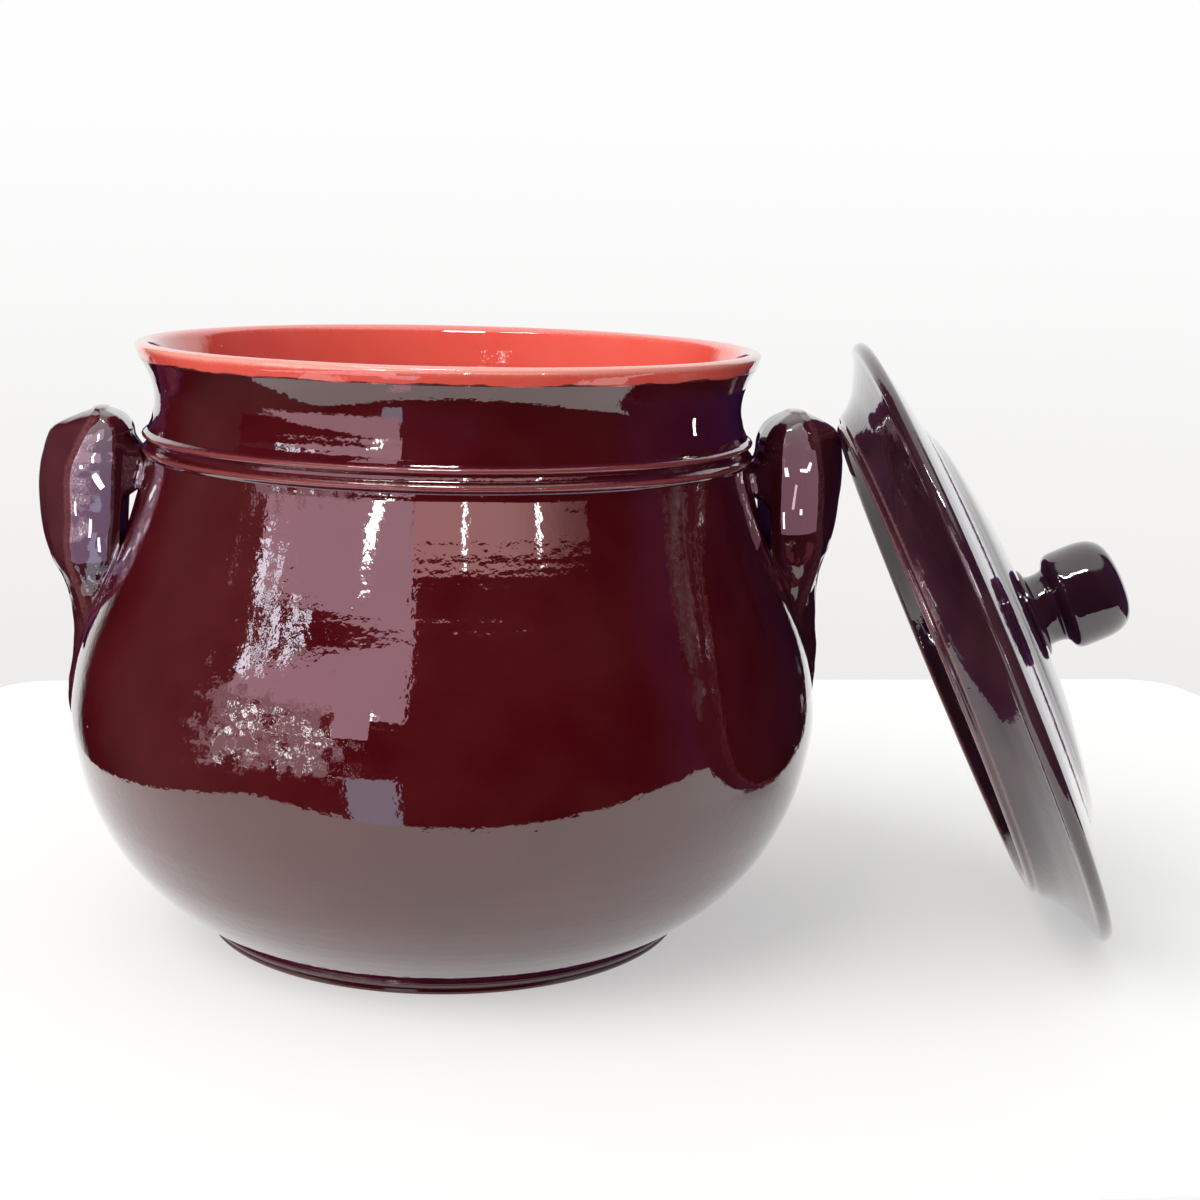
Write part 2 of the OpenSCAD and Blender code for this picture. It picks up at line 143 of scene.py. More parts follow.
# What the glaze reflects: radius round the pot, azimuths at the foot and at the top of the card,
# heights, brightness, colour, and for some the share of it that glows, the grain of that and the
# fade to the right. A card hides the cards before it, because it stands a little nearer to the pot.
CARD_STEP_IN = 0.0004
CARD_STEPS = 24
CARDS = (
    ("window", 0.50, (-65, -13.5), (-63, -13.5), 0.232, 0.302, 2.0, "FFD0E2"),
    ("window_top", 0.50, (-63, -13.5), (-17, -12.5), 0.302, 0.425, 2.0, "FFD0E2"),
    ("shelf_bright", 0.50, (-67, -56), (-73, -33), 0.265, 0.415, 6.5, "F4F0FF", 0.42, 42),
    ("shelf_low", 0.50, (-76, -19), (-74, -26), 0.040, 0.282, 1.1, "FFD8E6", 0.66, 34),
    ("shelf_spots", 0.50, (-72, -19), (-70, -26), 0.040, 0.268, 9.0, "FFFFFF", 0.30, 60),
    ("door", 0.50, (-27, -14), (-27, -14), -0.160, 0.085, 1.45, "D9E7FF"),
    ("strip_tilted", 0.50, (-24.0, -21.0), (-29.6, -27.0), 0.234, 0.330, 25, "FFFFFF"),
    ("curtain", 0.205, (-11, 33), (-11, 33), 0.2000, 0.2160, 2.25, "FFBFBE", 1, 10, 0.75),
    ("strip_middle", 0.200, (0.7, 1.6), (0.7, 1.6), 0.1990, 0.2160, 12, "FFFFFF"),
    ("strip_right", 0.200, (19.1, 20.0), (19.1, 20.0), 0.1990, 0.2160, 12, "FFFFFF"),
    ("tube", 0.50, (-24, 2), (-24, 2), 0.950, 1.100, 60, "FFFFFF"),
    ("tube_left", 0.50, (-66, -26), (-66, -26), 1.000, 1.200, 45, "FFFFFF", 0.46, 50),
    ("spots_inside", 0.50, (-40, -12), (-40, -12), 0.470, 0.600, 12, "FFFFFF", 0.14, 45),
    ("window_foot", 0.160, (-19.5, -14), (-19.5, -14), 0.1110, 0.1430, 2.0, "FFD0E2"),
    ("neck_flag_left", 0.160, (-56, -14), (-56, -14), 0.1975, 0.2130, 1, "180810"),
    ("neck_patch", 0.160, (-50, -14), (-19, -14), 0.1935, 0.2130, 1.8, "FFCCDC"),
    ("neck_flag", 0.160, (-13.9, 37), (-13.9, 37), 0.1985, 0.2125, 1, "180810"),
    ("neck_gap", 0.124, (-11, 2.5), (-11, 2.5), 0.1990, 0.2140, 1, "401030"),
    ("neck_right", 0.124, (31.5, 88), (31.5, 88), 0.1990, 0.2140, 1, "301A44", 1, 10, 0.75),
    ("neck_spot", 0.124, (49.7, 50.6), (49.7, 50.6), 0.2040, 0.2085, 20, "FFFFFF"))
# Small lights that only the lid's gloss sees, on its bead and on the flange's end
LID_CARDS = (
    ("lid_glint", 0.50, (-17, -13), (-17, -13), 0.290, 0.365, 30, "FFFFFF"),
    ("lid_glint_low", 0.50, (-17, -13), (-17, -13), 0.030, 0.070, 20, "FFFFFF"))
# Flat cards that only the handles' gloss sees: distance in front, centre, size, tilt in degrees,
# brightness, colours high up and low down, the share that glows and the grain of that
SHEETS = (
    ("side_left", -0.032, (-0.1420, 0.2195), (0.046, 0.161), 0, 1.55, ("FFFFFF", "C9B6E6")),
    ("side_right", -0.032, (0.1400, 0.2285), (0.044, 0.143), 0, 1.45, ("FFFFFF", "F0B4CC")),
    ("tail_left", -0.030, (-0.1370, 0.1240), (0.040, 0.034), 0, 3.0, ("F4ECFF", "E8E0FF"), 0.42, 420),
    ("tail_right", -0.030, (0.1380, 0.1400), (0.040, 0.034), 0, 0.7, ("C86070", "9A3848"), 0.50, 160))
# Glints on the handles' ridges: centre, size, tilt in degrees, brightness, and colours unless white
GLINTS_AT = -0.0215
GLINTS = (
    ((-0.1404, 0.1820), (0.0014, 0.0018), 0, 12), ((-0.1329, 0.1764), (0.0026, 0.0062), 38, 14),
    ((-0.1430, 0.1660), (0.0011, 0.0062), 5, 12), ((-0.1369, 0.1586), (0.0013, 0.0080), -6, 12),
    ((-0.1327, 0.1514), (0.0012, 0.0056), 0, 12), ((0.1299, 0.1830), (0.0022, 0.0046), 10, 12),
    ((0.1385, 0.1843), (0.0038, 0.0015), 0, 12), ((0.1412, 0.1857), (0.0013, 0.0030), -25, 12),
    ((0.1339, 0.1728), (0.0011, 0.0100), -8, 5, ("FFE4EC", "FFE4EC")),
    ((0.1373, 0.1669), (0.0012, 0.0024), 0, 12), ((0.1293, 0.1637), (0.0013, 0.0054), 6, 12))
# Dark cards behind the handles, which keep the white wall out of the gap and the inner sides
BEHIND = (
    ("behind_left", 0.055, (-0.1440, 0.1500), (0.064, 0.094), 0, 1, ("1C0A22", "1C0A22")),
    ("behind_right", 0.055, (0.1420, 0.1500), (0.070, 0.094), 0, 1, ("1C0A22", "1C0A22")))
# Where a card's patches end: how soft their edges are, and how much they thin towards the card's edge
PATCH_SOFT = 0.012
PATCH_THINNING = 0.22
# The camera fitted to the photograph: its place, the ways it looks and leans, its sensor in millimetres
CAMERA_AT = (-0.03450861, -0.79037702, 0.28263)
CAMERA_FORWARD = (0.11717544, 0.97477849, -0.18993899)
CAMERA_RIGHT = (0.99310558, -0.11436684, 0.02572011)
CAMERA_UP = (-0.00334869, 0.19164323, 0.98145894)
SENSOR = 36.0
# The soft light comes from here; the light all round leans this much to the left
KEY_FROM = (-0.90, -0.55, 0.95)
LEFT_STRONGER = 0.45
# The share of the cloth that stays white in the shade, and the colour of what is mirrored twice
CLOTH_WHITE = 0.45
MIRRORED_TWICE = "5A3060"

# What every length in the sidebar, and every soft step in a material, has in common
LENGTH = {"unit": "LENGTH", "subtype": "DISTANCE"}
SOFT_STEP = {"interpolation_type": "SMOOTHSTEP"}


def linear(code):
    """A colour written as sRGB hex, turned to the linear values that Blender works in."""
    values = [int(code[i:i + 2], 16) / 255 for i in (0, 2, 4)]
    return tuple(v / 12.92 if v <= 0.04045 else ((v + 0.055) / 1.055) ** 2.4 for v in values)


class PotSizes(bpy.types.PropertyGroup):
    """Sizes of the pot's turned wall."""
    rim_d: FloatProperty(name="Rim diameter", description="Outer diameter of the rim at its lip",
                         default=0.240, **LENGTH)
    height: FloatProperty(name="Height", description="From the base to the top of the lip",
                          default=0.230, **LENGTH)
    wall: FloatProperty(name="Wall", description="Thickness of the clay with its glaze",
                        default=0.0065, **LENGTH)
    floor_t: FloatProperty(name="Floor", description="Thickness of the pot's floor",
                           default=0.0075, **LENGTH)
    foot_d: FloatProperty(name="Foot diameter", description="Diameter of the foot", default=0.189, **LENGTH)
    foot_round: FloatProperty(name="Foot rounding", description="Radius round the foot",
                              default=0.0025, **LENGTH)
    glaze_t: FloatProperty(name="Glaze", description="Thickness of each coat of glaze",
                           default=0.0005, **LENGTH)
    cordon_out: FloatProperty(name="Upper cordon", description="How far it stands out",
                              default=0.0024, **LENGTH)
    second_cordon_out: FloatProperty(name="Lower cordon", description="How far it stands out",
                                     default=0.0017, **LENGTH)
    cordon_half_h: FloatProperty(name="Cordon half height", description="Half a cordon's height",
                                 default=0.0029, **LENGTH)
    ring_depth: FloatProperty(name="Ring depth", description="Depth of the throwing rings",
                              default=0.00010, **LENGTH)
    ring_spacing: FloatProperty(name="Ring spacing", description="From one throwing ring to the next",
                                default=0.0075, **LENGTH)
    lump_depth: FloatProperty(name="Lump depth", description="Depth of the uneven wall",
                              default=0.00022, **LENGTH)
    lump_size: FloatProperty(name="Lump size", description="Width of the wall's uneven places",
                             default=0.040, **LENGTH)


class HandleSizes(bpy.types.PropertyGroup):
    """Sizes of the two ear handles."""
    width: FloatProperty(name="Width", description="Width of a handle, measured round the pot",
                         default=0.035, **LENGTH)
    soft: FloatProperty(name="Softening", description="Softening of the handle's edges",
                        default=0.0016, **LENGTH)
    fillet: FloatProperty(name="Fillet", description="Radius where a handle runs into the wall",
                          default=0.0032, **LENGTH)
    inner_soft: FloatProperty(name="Inner softening", description="Rounding of the side near the wall",
                              default=0.0032, **LENGTH)
    bulge: FloatProperty(name="Bulge", description="How far the sides of a handle swell out",
                         default=0.0011, **LENGTH)
    thumb_depth: FloatProperty(name="Thumb marks", description="Depth of the potter's thumb marks",
                               default=0.0005, **LENGTH)


class LidSizes(bpy.types.PropertyGroup):
    """Sizes of the lid, its knob and the way that it leans."""
    overhang: FloatProperty(name="Overhang", description="How far the lid stands out past the rim",
                            default=0.008, **LENGTH)
    bead_r: FloatProperty(name="Bead", description="Radius of the rounded bead on the edge",
                          default=0.00285, **LENGTH)
    dome_h: FloatProperty(name="Dome height", description="Crown above the middle of the bead",
                          default=0.0214, **LENGTH)
    thickness: FloatProperty(name="Thickness", description="Thickness of the dome", default=0.006, **LENGTH)
    flange_gap: FloatProperty(name="Flange play", description="Play between flange and mouth",
                              default=0.0057, **LENGTH)
    flange_depth: FloatProperty(name="Flange depth", description="Depth below the bead's middle",
                                default=0.0202, **LENGTH)
    flange_t: FloatProperty(name="Flange thickness", description="Thickness at its end",
                            default=0.0046, **LENGTH)
    knob_d: FloatProperty(name="Knob diameter", description="Diameter of the knob's head",
                          default=0.0405, **LENGTH)
    knob_h: FloatProperty(name="Knob height", description="Height above the lid's crown",
                          default=0.0395, **LENGTH)
    collar_d: FloatProperty(name="Collar diameter", description="Collar where the knob stands",
                            default=0.0374, **LENGTH)
    collar_h: FloatProperty(name="Collar height", description="Height of that collar",
                            default=0.0038, **LENGTH)
    neck_d: FloatProperty(name="Neck diameter", description="Diameter of the knob's neck",
                          default=0.029, **LENGTH)
    knob_off: FloatProperty(name="Knob's offset", description="Off the middle, to the upper side",
                            default=0.0015, **LENGTH)
    turn: FloatProperty(name="Turn", description="Turn of the lid's axis towards the front",
                        default=math.radians(8.6), unit="ROTATION", subtype="ANGLE")
    lean_x: FloatProperty(name="Lean distance", description="From the pot's axis to the lid's middle",
                          default=0.21132, **LENGTH)


class GlazeColours(bpy.types.PropertyGroup):
    """Colours of the clay and its glazes."""
    brown: FloatVectorProperty(name="Brown glaze", description="Dark brown glaze where it is thick",
                               subtype="COLOR", default=linear("43070D"))
    brown_thin: FloatVectorProperty(name="Thin brown glaze", description="Brown glaze on the edges",
                                    subtype="COLOR", default=linear("7E3A3A"))
    handle: FloatVectorProperty(name="Glaze on the handles", description="Brown glaze laid on thickly",
                                subtype="COLOR", default=linear("42101A"))
    handle_thin: FloatVectorProperty(name="Thin glaze on the handles", description="On their ridges",
                                     subtype="COLOR", default=linear("8A5456"))
    # The lid's glaze is set darker and more purple than the pot's brown: painted shade and painted
    # reflection
    lid: FloatVectorProperty(name="Glaze on the lid", description="Brown glaze that fired nearly black",
                             subtype="COLOR", default=linear("28121F"))
    lid_thin: FloatVectorProperty(name="Thin glaze on the lid", description="On the flange's end",
                                  subtype="COLOR", default=linear("8A5A5A"))
    red: FloatVectorProperty(name="Red glaze", description="Coral red glaze inside and on the rim",
                             subtype="COLOR", default=linear("E8584A"))
    red_thin: FloatVectorProperty(name="Thin red glaze", description="Red glaze on the lip's edge",
                                  subtype="COLOR", default=linear("F09A8A"))
    clay: FloatVectorProperty(name="Clay", description="Bare fired terracotta",
                              subtype="COLOR", default=linear("B8694A"))


class StudioSettings(bpy.types.PropertyGroup):
    """The table, the light and the camera round the pot."""
    fill: FloatProperty(name="Fill light", description="Even light from all round", default=0.68)
    key: FloatProperty(name="Key light", description="Strength of the soft light from the left",
                       default=2.1)
    focal: FloatProperty(name="Focal length", description="Camera's focal length in millimetres",
                         default=60.742)
    steps_round: IntProperty(name="Steps round", description="Faces round each turned piece", default=320)


def sizes(group):
    """One group of the sidebar's settings: pot, handles, lid or colours."""
    return getattr(bpy.context.scene, "cookpot_" + group)


def smooth(rows, steps):
    """A smooth curve through every row, with that many steps between two of them."""
    rows = np.array(rows, float)
    last = len(rows) - 1
    out = []
    for i in range(last):
        a, b, c, d = rows[max(i - 1, 0)], rows[i], rows[i + 1], rows[min(i + 2, last)]
        for k in range(steps):
            t = k / steps
            out.append(0.5 * (2 * b + (c - a) * t + (2 * a - 5 * b + 4 * c - d) * t * t
                              + (3 * b - a - 3 * c + d) * t ** 3))
    out.append(rows[last])
    return np.array(out)


def moved(rows, distance):
    """Rows moved sideways, to the left of the way that the line runs."""
    ahead = np.vstack([rows[1:], rows[-1:]])
    behind = np.vstack([rows[:1], rows[:-1]])
    way = ahead - behind
    way /= np.linalg.norm(way, axis=1)[:, None]
    out = rows + np.column_stack([-way[:, 1], way[:, 0]]) * distance
    out[:, 0] = np.maximum(out[:, 0], 0)
    return out


def arc(centre, radius, start, end, steps):
    """Points on a part of a circle, its angles in degrees."""
    turns = np.radians(np.linspace(start, end, steps + 1))
    return np.column_stack([centre[0] + radius * np.cos(turns), centre[1] + radius * np.sin(turns)])


def wall_rows(steps):
    """The wall's outside without its cordons, in metres."""
    pot = sizes("pot")
    return smooth(np.array(OUTSIDE) * (pot.rim_d / 2, pot.height), steps)


def with_cordons(rows):
    """Those rows with the two rounded cordons under the neck."""
    pot = sizes("pot")
    out = rows.copy()
    for share, stand in zip(CORDONS, (pot.cordon_out, pot.second_cordon_out)):
        off = (rows[:, 1] - share * pot.height) / pot.cordon_half_h
        out[:, 0] += np.where(abs(off) < 1, stand * np.cos(np.pi / 2 * off) ** 2, 0)
    return out


def convexity(rows):
    """How sharply the line turns outwards at each row, from 0 to 1: glaze runs thin there."""
    way = np.diff(rows, axis=0)
    turn = np.zeros(len(rows))
    heading = np.unwrap(np.arctan2(way[:, 1], way[:, 0]))
    turn[1:-1] = np.diff(heading)
    along = np.concatenate([[0], np.cumsum(np.linalg.norm(way, axis=1))])
    near = np.exp(-((along[:, None] - along[None, :]) / THIN_REACH) ** 2)
    return np.clip((near @ turn) / THIN_TURN, 0, 1)


def profile_mesh(name, rows, relief, thin, past):
    """The line that a turned piece is swept from, with what is known of each of its points."""
    mesh = bpy.data.meshes.new(name)
    points = [(r, 0.0, z) for r, z in rows]
    mesh.from_pydata(points, [(i, i + 1) for i in range(len(points) - 1)], [])
    along = np.concatenate([[0], np.cumsum(np.linalg.norm(np.diff(rows, axis=0), axis=1))])
    for key, values in (("relief", relief), ("thin", thin), ("along", along), ("past", past)):
        mesh.attributes.new(key, "FLOAT", "POINT").data.foreach_set("value", np.array(values, float))
    return mesh


def add(tree, kind, inputs=None, **settings):
    """A new node with its settings; each input is a value, or the socket or node that feeds it."""
    made = tree.nodes.new(kind)
    for key, value in settings.items():
        setattr(made, key, value)
    for key, value in (inputs or {}).items():
        if isinstance(value, bpy.types.Node):
            value = next(socket for socket in value.outputs if socket.enabled)
        if isinstance(value, bpy.types.NodeSocket):
            tree.links.new(value, made.inputs[key])
        elif made.inputs[key].type == "RGBA":
            made.inputs[key].default_value = (*value, 1)
        else:
            made.inputs[key].default_value = value
    return made


def empty_material(name):
    """A new material with nothing in its node tree."""
    material = bpy.data.materials.new(name)
    material.use_nodes = True
    material.node_tree.nodes.clear()
    return material


def turning_tree():
    """Geometry nodes that sweep a line round the Z axis and give it a thrown surface."""
    tree = bpy.data.node_groups.new("thrown on the wheel", "GeometryNodeTree")
    wanted = (("Line", "NodeSocketGeometry", None), ("Steps round", "NodeSocketInt", 320),
              ("Ring depth", "NodeSocketFloat", 0.0001), ("Ring spacing", "NodeSocketFloat", 0.0075),
              ("Lump depth", "NodeSocketFloat", 0.0002), ("Lump size", "NodeSocketFloat", 0.04),
              ("Seed", "NodeSocketFloat", 0.0), ("Material", "NodeSocketMaterial", None))
    for name, kind, value in wanted:
        socket = tree.interface.new_socket(name=name, in_out="INPUT", socket_type=kind)
        if value is not None:
            socket.default_value = value
    tree.interface.new_socket(name="Piece", in_out="OUTPUT", socket_type="NodeSocketGeometry")
    given = add(tree, "NodeGroupInput").outputs
    count = add(tree, "GeometryNodeAttributeDomainSize", {"Geometry": given["Line"]})
    rows = count.outputs["Point Count"]
    columns = add(tree, "ShaderNodeMath", {0: given["Steps round"], 1: 1.0}, operation="ADD")
    grid = add(tree, "GeometryNodeMeshGrid", {"Size X": 1.0, "Size Y": 1.0, "Vertices X": columns,
               "Vertices Y": rows})
    index = add(tree, "GeometryNodeInputIndex")
    row = add(tree, "ShaderNodeMath", {0: index, 1: rows}, operation="MODULO")
    column = add(tree, "ShaderNodeMath", {0: index, 1: rows}, operation="DIVIDE")
    column = add(tree, "ShaderNodeMath", {0: column}, operation="FLOOR")
    share = add(tree, "ShaderNodeMath", {0: column, 1: given["Steps round"]}, operation="DIVIDE")
    angle = add(tree, "ShaderNodeMath", {0: share, 1: 2 * math.pi}, operation="MULTIPLY")
    point = add(tree, "GeometryNodeSampleIndex", {"Geometry": given["Line"], "Value": add(tree,
                "GeometryNodeInputPosition"), "Index": row}, data_type="FLOAT_VECTOR")
    xyz = add(tree, "ShaderNodeSeparateXYZ", {0: point}).outputs
    cos = add(tree, "ShaderNodeMath", {0: angle}, operation="COSINE")
    sin = add(tree, "ShaderNodeMath", {0: angle}, operation="SINE")
    x = add(tree, "ShaderNodeMath", {0: xyz["X"], 1: cos}, operation="MULTIPLY")
    y = add(tree, "ShaderNodeMath", {0: xyz["X"], 1: sin}, operation="MULTIPLY")
    place = add(tree, "ShaderNodeCombineXYZ", {"X": x, "Y": y, "Z": xyz["Z"]})
    shape = add(tree, "GeometryNodeSetPosition", {"Geometry": grid.outputs["Mesh"], "Position": place})
    for key in ("relief", "thin", "along", "past"):
        value = add(tree, "GeometryNodeInputNamedAttribute", {"Name": key}, data_type="FLOAT")
        sampled = add(tree, "GeometryNodeSampleIndex", {"Geometry": given["Line"], "Value": value,
                      "Index": row}, data_type="FLOAT")
        shape = add(tree, "GeometryNodeStoreNamedAttribute", {"Geometry": shape, "Name": key,
                    "Value": sampled}, data_type="FLOAT", domain="POINT")
    shape = add(tree, "GeometryNodeMergeByDistance", {"Geometry": shape, "Distance": 2e-6})
    # Throwing rings run round the piece and wander a little; lumps are its uneven wall
    here = add(tree, "GeometryNodeInputPosition")
    flat = add(tree, "ShaderNodeVectorMath", {0: here, 1: (4.0, 4.0, 0.0)}, operation="MULTIPLY")
    length = add(tree, "GeometryNodeInputNamedAttribute", {"Name": "along"}, data_type="FLOAT")
    step = add(tree, "ShaderNodeMath", {0: length, 1: given["Ring spacing"]}, operation="DIVIDE")
    upright = add(tree, "ShaderNodeCombineXYZ", {"Z": step})
    rings_at = add(tree, "ShaderNodeVectorMath", {0: flat, 1: upright}, operation="ADD")
    rings = add(tree, "ShaderNodeTexNoise", {"Vector": rings_at, "W": given["Seed"], "Scale": 1.0,
                "Detail": 1.0}, noise_dimensions="4D")
    fine = add(tree, "ShaderNodeMath", {0: 1.0, 1: given["Lump size"]}, operation="DIVIDE")
    lumps = add(tree, "ShaderNodeTexNoise", {"Vector": here, "W": given["Seed"], "Scale": fine,
                "Detail": 2.0}, noise_dimensions="4D")
    deep = add(tree, "ShaderNodeMath", {0: rings, 1: given["Ring depth"]}, operation="MULTIPLY")
    wide = add(tree, "ShaderNodeMath", {0: lumps, 1: given["Lump depth"]}, operation="MULTIPLY")
    both = add(tree, "ShaderNodeMath", {0: deep, 1: wide}, operation="ADD")
    relief = add(tree, "GeometryNodeInputNamedAttribute", {"Name": "relief"}, data_type="FLOAT")
    inward = add(tree, "ShaderNodeMath", {0: both, 1: relief}, operation="MULTIPLY")
    back = add(tree, "ShaderNodeMath", {0: inward, 1: -1.0}, operation="MULTIPLY")
    offset = add(tree, "ShaderNodeVectorMath", {0: add(tree, "GeometryNodeInputNormal"), "Scale": back},
                 operation="SCALE")
    shape = add(tree, "GeometryNodeSetPosition", {"Geometry": shape, "Offset": offset})
    shape = add(tree, "GeometryNodeSetShadeSmooth", {"Geometry": shape})
    shape = add(tree, "GeometryNodeRealizeInstances", {"Geometry": shape})
    shape = add(tree, "GeometryNodeSetMaterial", {"Geometry": shape, "Material": given["Material"]})
    add(tree, "NodeGroupOutput", {"Piece": shape})
    return tree


def turned_piece(name, rows, relief, thin, material, past=None, steps=None, place=None, **depths):
    """A piece thrown on the wheel from its line, as a plain mesh put in its place."""
    tree = bpy.data.node_groups.get("thrown on the wheel") or turning_tree()
    line = profile_mesh(name + " line", rows, relief, thin, np.zeros(len(rows)) if past is None else past)
    holder = bpy.data.objects.new(name + "_line", line)
    bpy.context.scene.collection.objects.link(holder)
    modifier = holder.modifiers.new("thrown", "NODES")
    modifier.node_group = tree
    pot = sizes("pot")
    given = {"Steps round": steps or bpy.context.scene.cookpot_studio.steps_round,
             "Ring depth": pot.ring_depth, "Ring spacing": pot.ring_spacing,
             "Lump depth": pot.lump_depth, "Lump size": pot.lump_size, "Seed": 1.0,
             "Material": material}
    given.update(depths)
    for item in tree.interface.items_tree:
        if item.in_out == "INPUT" and item.name in given:
            modifier[item.identifier] = given[item.name]
    graph = bpy.context.evaluated_depsgraph_get()
    mesh = bpy.data.meshes.new_from_object(holder.evaluated_get(graph))
    bpy.data.objects.remove(holder)
    if place is not None:
        mesh.transform(place)
    return finished(name, mesh, material)


def finished(name, mesh, material):
    """The mesh as an object at the origin, with its material and its faces turned outwards."""
    mesh.name = name
    if signed_volume(mesh) < 0:
        mesh.flip_normals()
    mesh.materials.clear()
    mesh.materials.append(material)
    mesh.polygons.foreach_set("use_smooth", [True] * len(mesh.polygons))
    made = bpy.data.objects.new(name, mesh)
    bpy.context.scene.collection.objects.link(made)
    return made


def signed_volume(mesh):
    """The closed mesh's volume, negative where its faces point inwards."""
    mesh.calc_loop_triangles()
    points = np.zeros(len(mesh.vertices) * 3)
    mesh.vertices.foreach_get("co", points)
    corners = np.zeros(len(mesh.loop_triangles) * 3, int)
    mesh.loop_triangles.foreach_get("vertices", corners)
    tri = points.reshape(-1, 3)[corners].reshape(-1, 3, 3)
    return float(np.einsum("ij,ij->i", tri[:, 0], np.cross(tri[:, 1], tri[:, 2])).sum() / 6)


def glaze_material(name, thick, thin, other=None, other_thin=None):
    """A glossy glaze, cloudy and lighter where it runs thin, with the other glaze past the rim's line."""
    material = empty_material(name)
    tree = material.node_tree
    where = add(tree, "ShaderNodeTexCoord").outputs["Object"]
    edge = add(tree, "ShaderNodeAttribute", attribute_name="thin").outputs["Fac"]
    along = add(tree, "ShaderNodeAttribute", attribute_name="along").outputs["Fac"]
    # Clouds 25 mm wide and specks 1.2 mm wide break the colour as in a dipped glaze
    cloud = add(tree, "ShaderNodeTexNoise", {"Vector": where, "Scale": 40.0, "Detail": 3.0})
    speck = add(tree, "ShaderNodeTexNoise", {"Vector": where, "Scale": 800.0, "Detail": 2.0})
    frayed = add(tree, "ShaderNodeMath", {0: speck, 1: 0.5}, operation="SUBTRACT")
    worn = add(tree, "ShaderNodeMath", {0: frayed, 1: 0.5, 2: edge}, operation="MULTIPLY_ADD")
    worn = add(tree, "ShaderNodeMapRange", {"Value": worn, "From Min": 0.12, "From Max": 1.0},
               **SOFT_STEP)
    light = add(tree, "ShaderNodeMapRange", {"Value": cloud, "From Min": 0.3, "From Max": 0.75,
                "To Min": 0.0, "To Max": 0.12})
    amount = add(tree, "ShaderNodeMath", {0: worn, 1: light}, operation="ADD", use_clamp=True)
    colour = add(tree, "ShaderNodeMix", {"Factor": amount, "A": thick, "B": thin}, data_type="RGBA")
    if other is not None:
        outer = add(tree, "ShaderNodeMix", {"Factor": amount, "A": other, "B": other_thin},
                    data_type="RGBA")
        # The two glazes meet in a wavering line: waves about 14 mm long and 1 mm high
        past = add(tree, "ShaderNodeAttribute", attribute_name="past").outputs["Fac"]
        waver = add(tree, "ShaderNodeTexNoise", {"Vector": where, "Scale": 70.0, "Detail": 3.0})
        line = add(tree, "ShaderNodeMath", {0: waver, 1: -0.0036, 2: past}, operation="MULTIPLY_ADD")
        over = add(tree, "ShaderNodeMapRange", {"Value": line, "From Min": -0.0020, "From Max": -0.0014},
                   **SOFT_STEP)
        colour = add(tree, "ShaderNodeMix", {"Factor": over, "A": outer, "B": colour}, data_type="RGBA")
    # Ripples 3 mm wide and 0.02 mm deep, drawn a little stronger than real so that they show
    ripple = add(tree, "ShaderNodeTexNoise", {"Vector": where, "Scale": 330.0, "Detail": 2.0})
    rings = add(tree, "ShaderNodeMath", {0: along, 1: 220.0}, operation="MULTIPLY")
    rings = add(tree, "ShaderNodeTexNoise", {"W": rings, "Scale": 1.0, "Detail": 1.0},
                noise_dimensions="1D")
    bumps = add(tree, "ShaderNodeMath", {0: rings, 1: 0.6, 2: ripple}, operation="MULTIPLY_ADD")
    bump = add(tree, "ShaderNodeBump", {"Strength": 0.55, "Distance": 0.00012, "Height": bumps})
    pits = add(tree, "ShaderNodeTexVoronoi", {"Vector": where, "Scale": 90.0})
    pits = add(tree, "ShaderNodeMapRange", {"Value": pits, "From Min": 0.0, "From Max": 0.06},
               **SOFT_STEP)
    bump = add(tree, "ShaderNodeBump", {"Strength": 0.4, "Distance": 0.0003, "Height": pits,
               "Normal": bump})
    gloss = add(tree, "ShaderNodeMapRange", {"Value": cloud, "To Min": 0.035, "To Max": 0.07})
    shader = add(tree, "ShaderNodeBsdfPrincipled", {"Base Color": colour, "Roughness": gloss, "IOR": 1.6,
                 "Normal": bump, "Coat Weight": 1.0, "Coat Roughness": 0.03, "Coat IOR": 1.6,
                 "Coat Normal": bump})
    add(tree, "ShaderNodeOutputMaterial", {"Surface": shader})
    return material


# Each glaze with its colours, thick and thin, and those of the one that it meets under the lip
GLAZES = {
    # Lead-free dark brown glaze, dipped over red clay: near black with a red glow where it is thin
    "dark_brown_glaze_over_terracotta": ("red", "red_thin", "brown", "brown_thin"),
    # Lead-free coral red glaze over white slip: bright, even and glossy, paler on the lip's edge
    "coral_red_glaze_over_slip": ("red", "red_thin", "brown", "brown_thin"),
    # The brown glaze on the handles: thicker and more purple, with pinkish worn ridges
    "dark_brown_glaze_on_handles": ("handle", "handle_thin"),
    # The brown glaze on the lid and its knob, pinkish on the flange. It is set nearly black and a little
    # purple, darker than the same glaze on the pot: painted shade and painted reflection
    "dark_brown_glaze_on_lid_with_painted_shade": ("lid", "lid_thin"),
}


def glaze(name):
    """That glaze, made when it is first asked for."""
    colours = sizes("colours")
    made = bpy.data.materials.get(name)
    return made or glaze_material(name, *(getattr(colours, key) for key in GLAZES[name]))


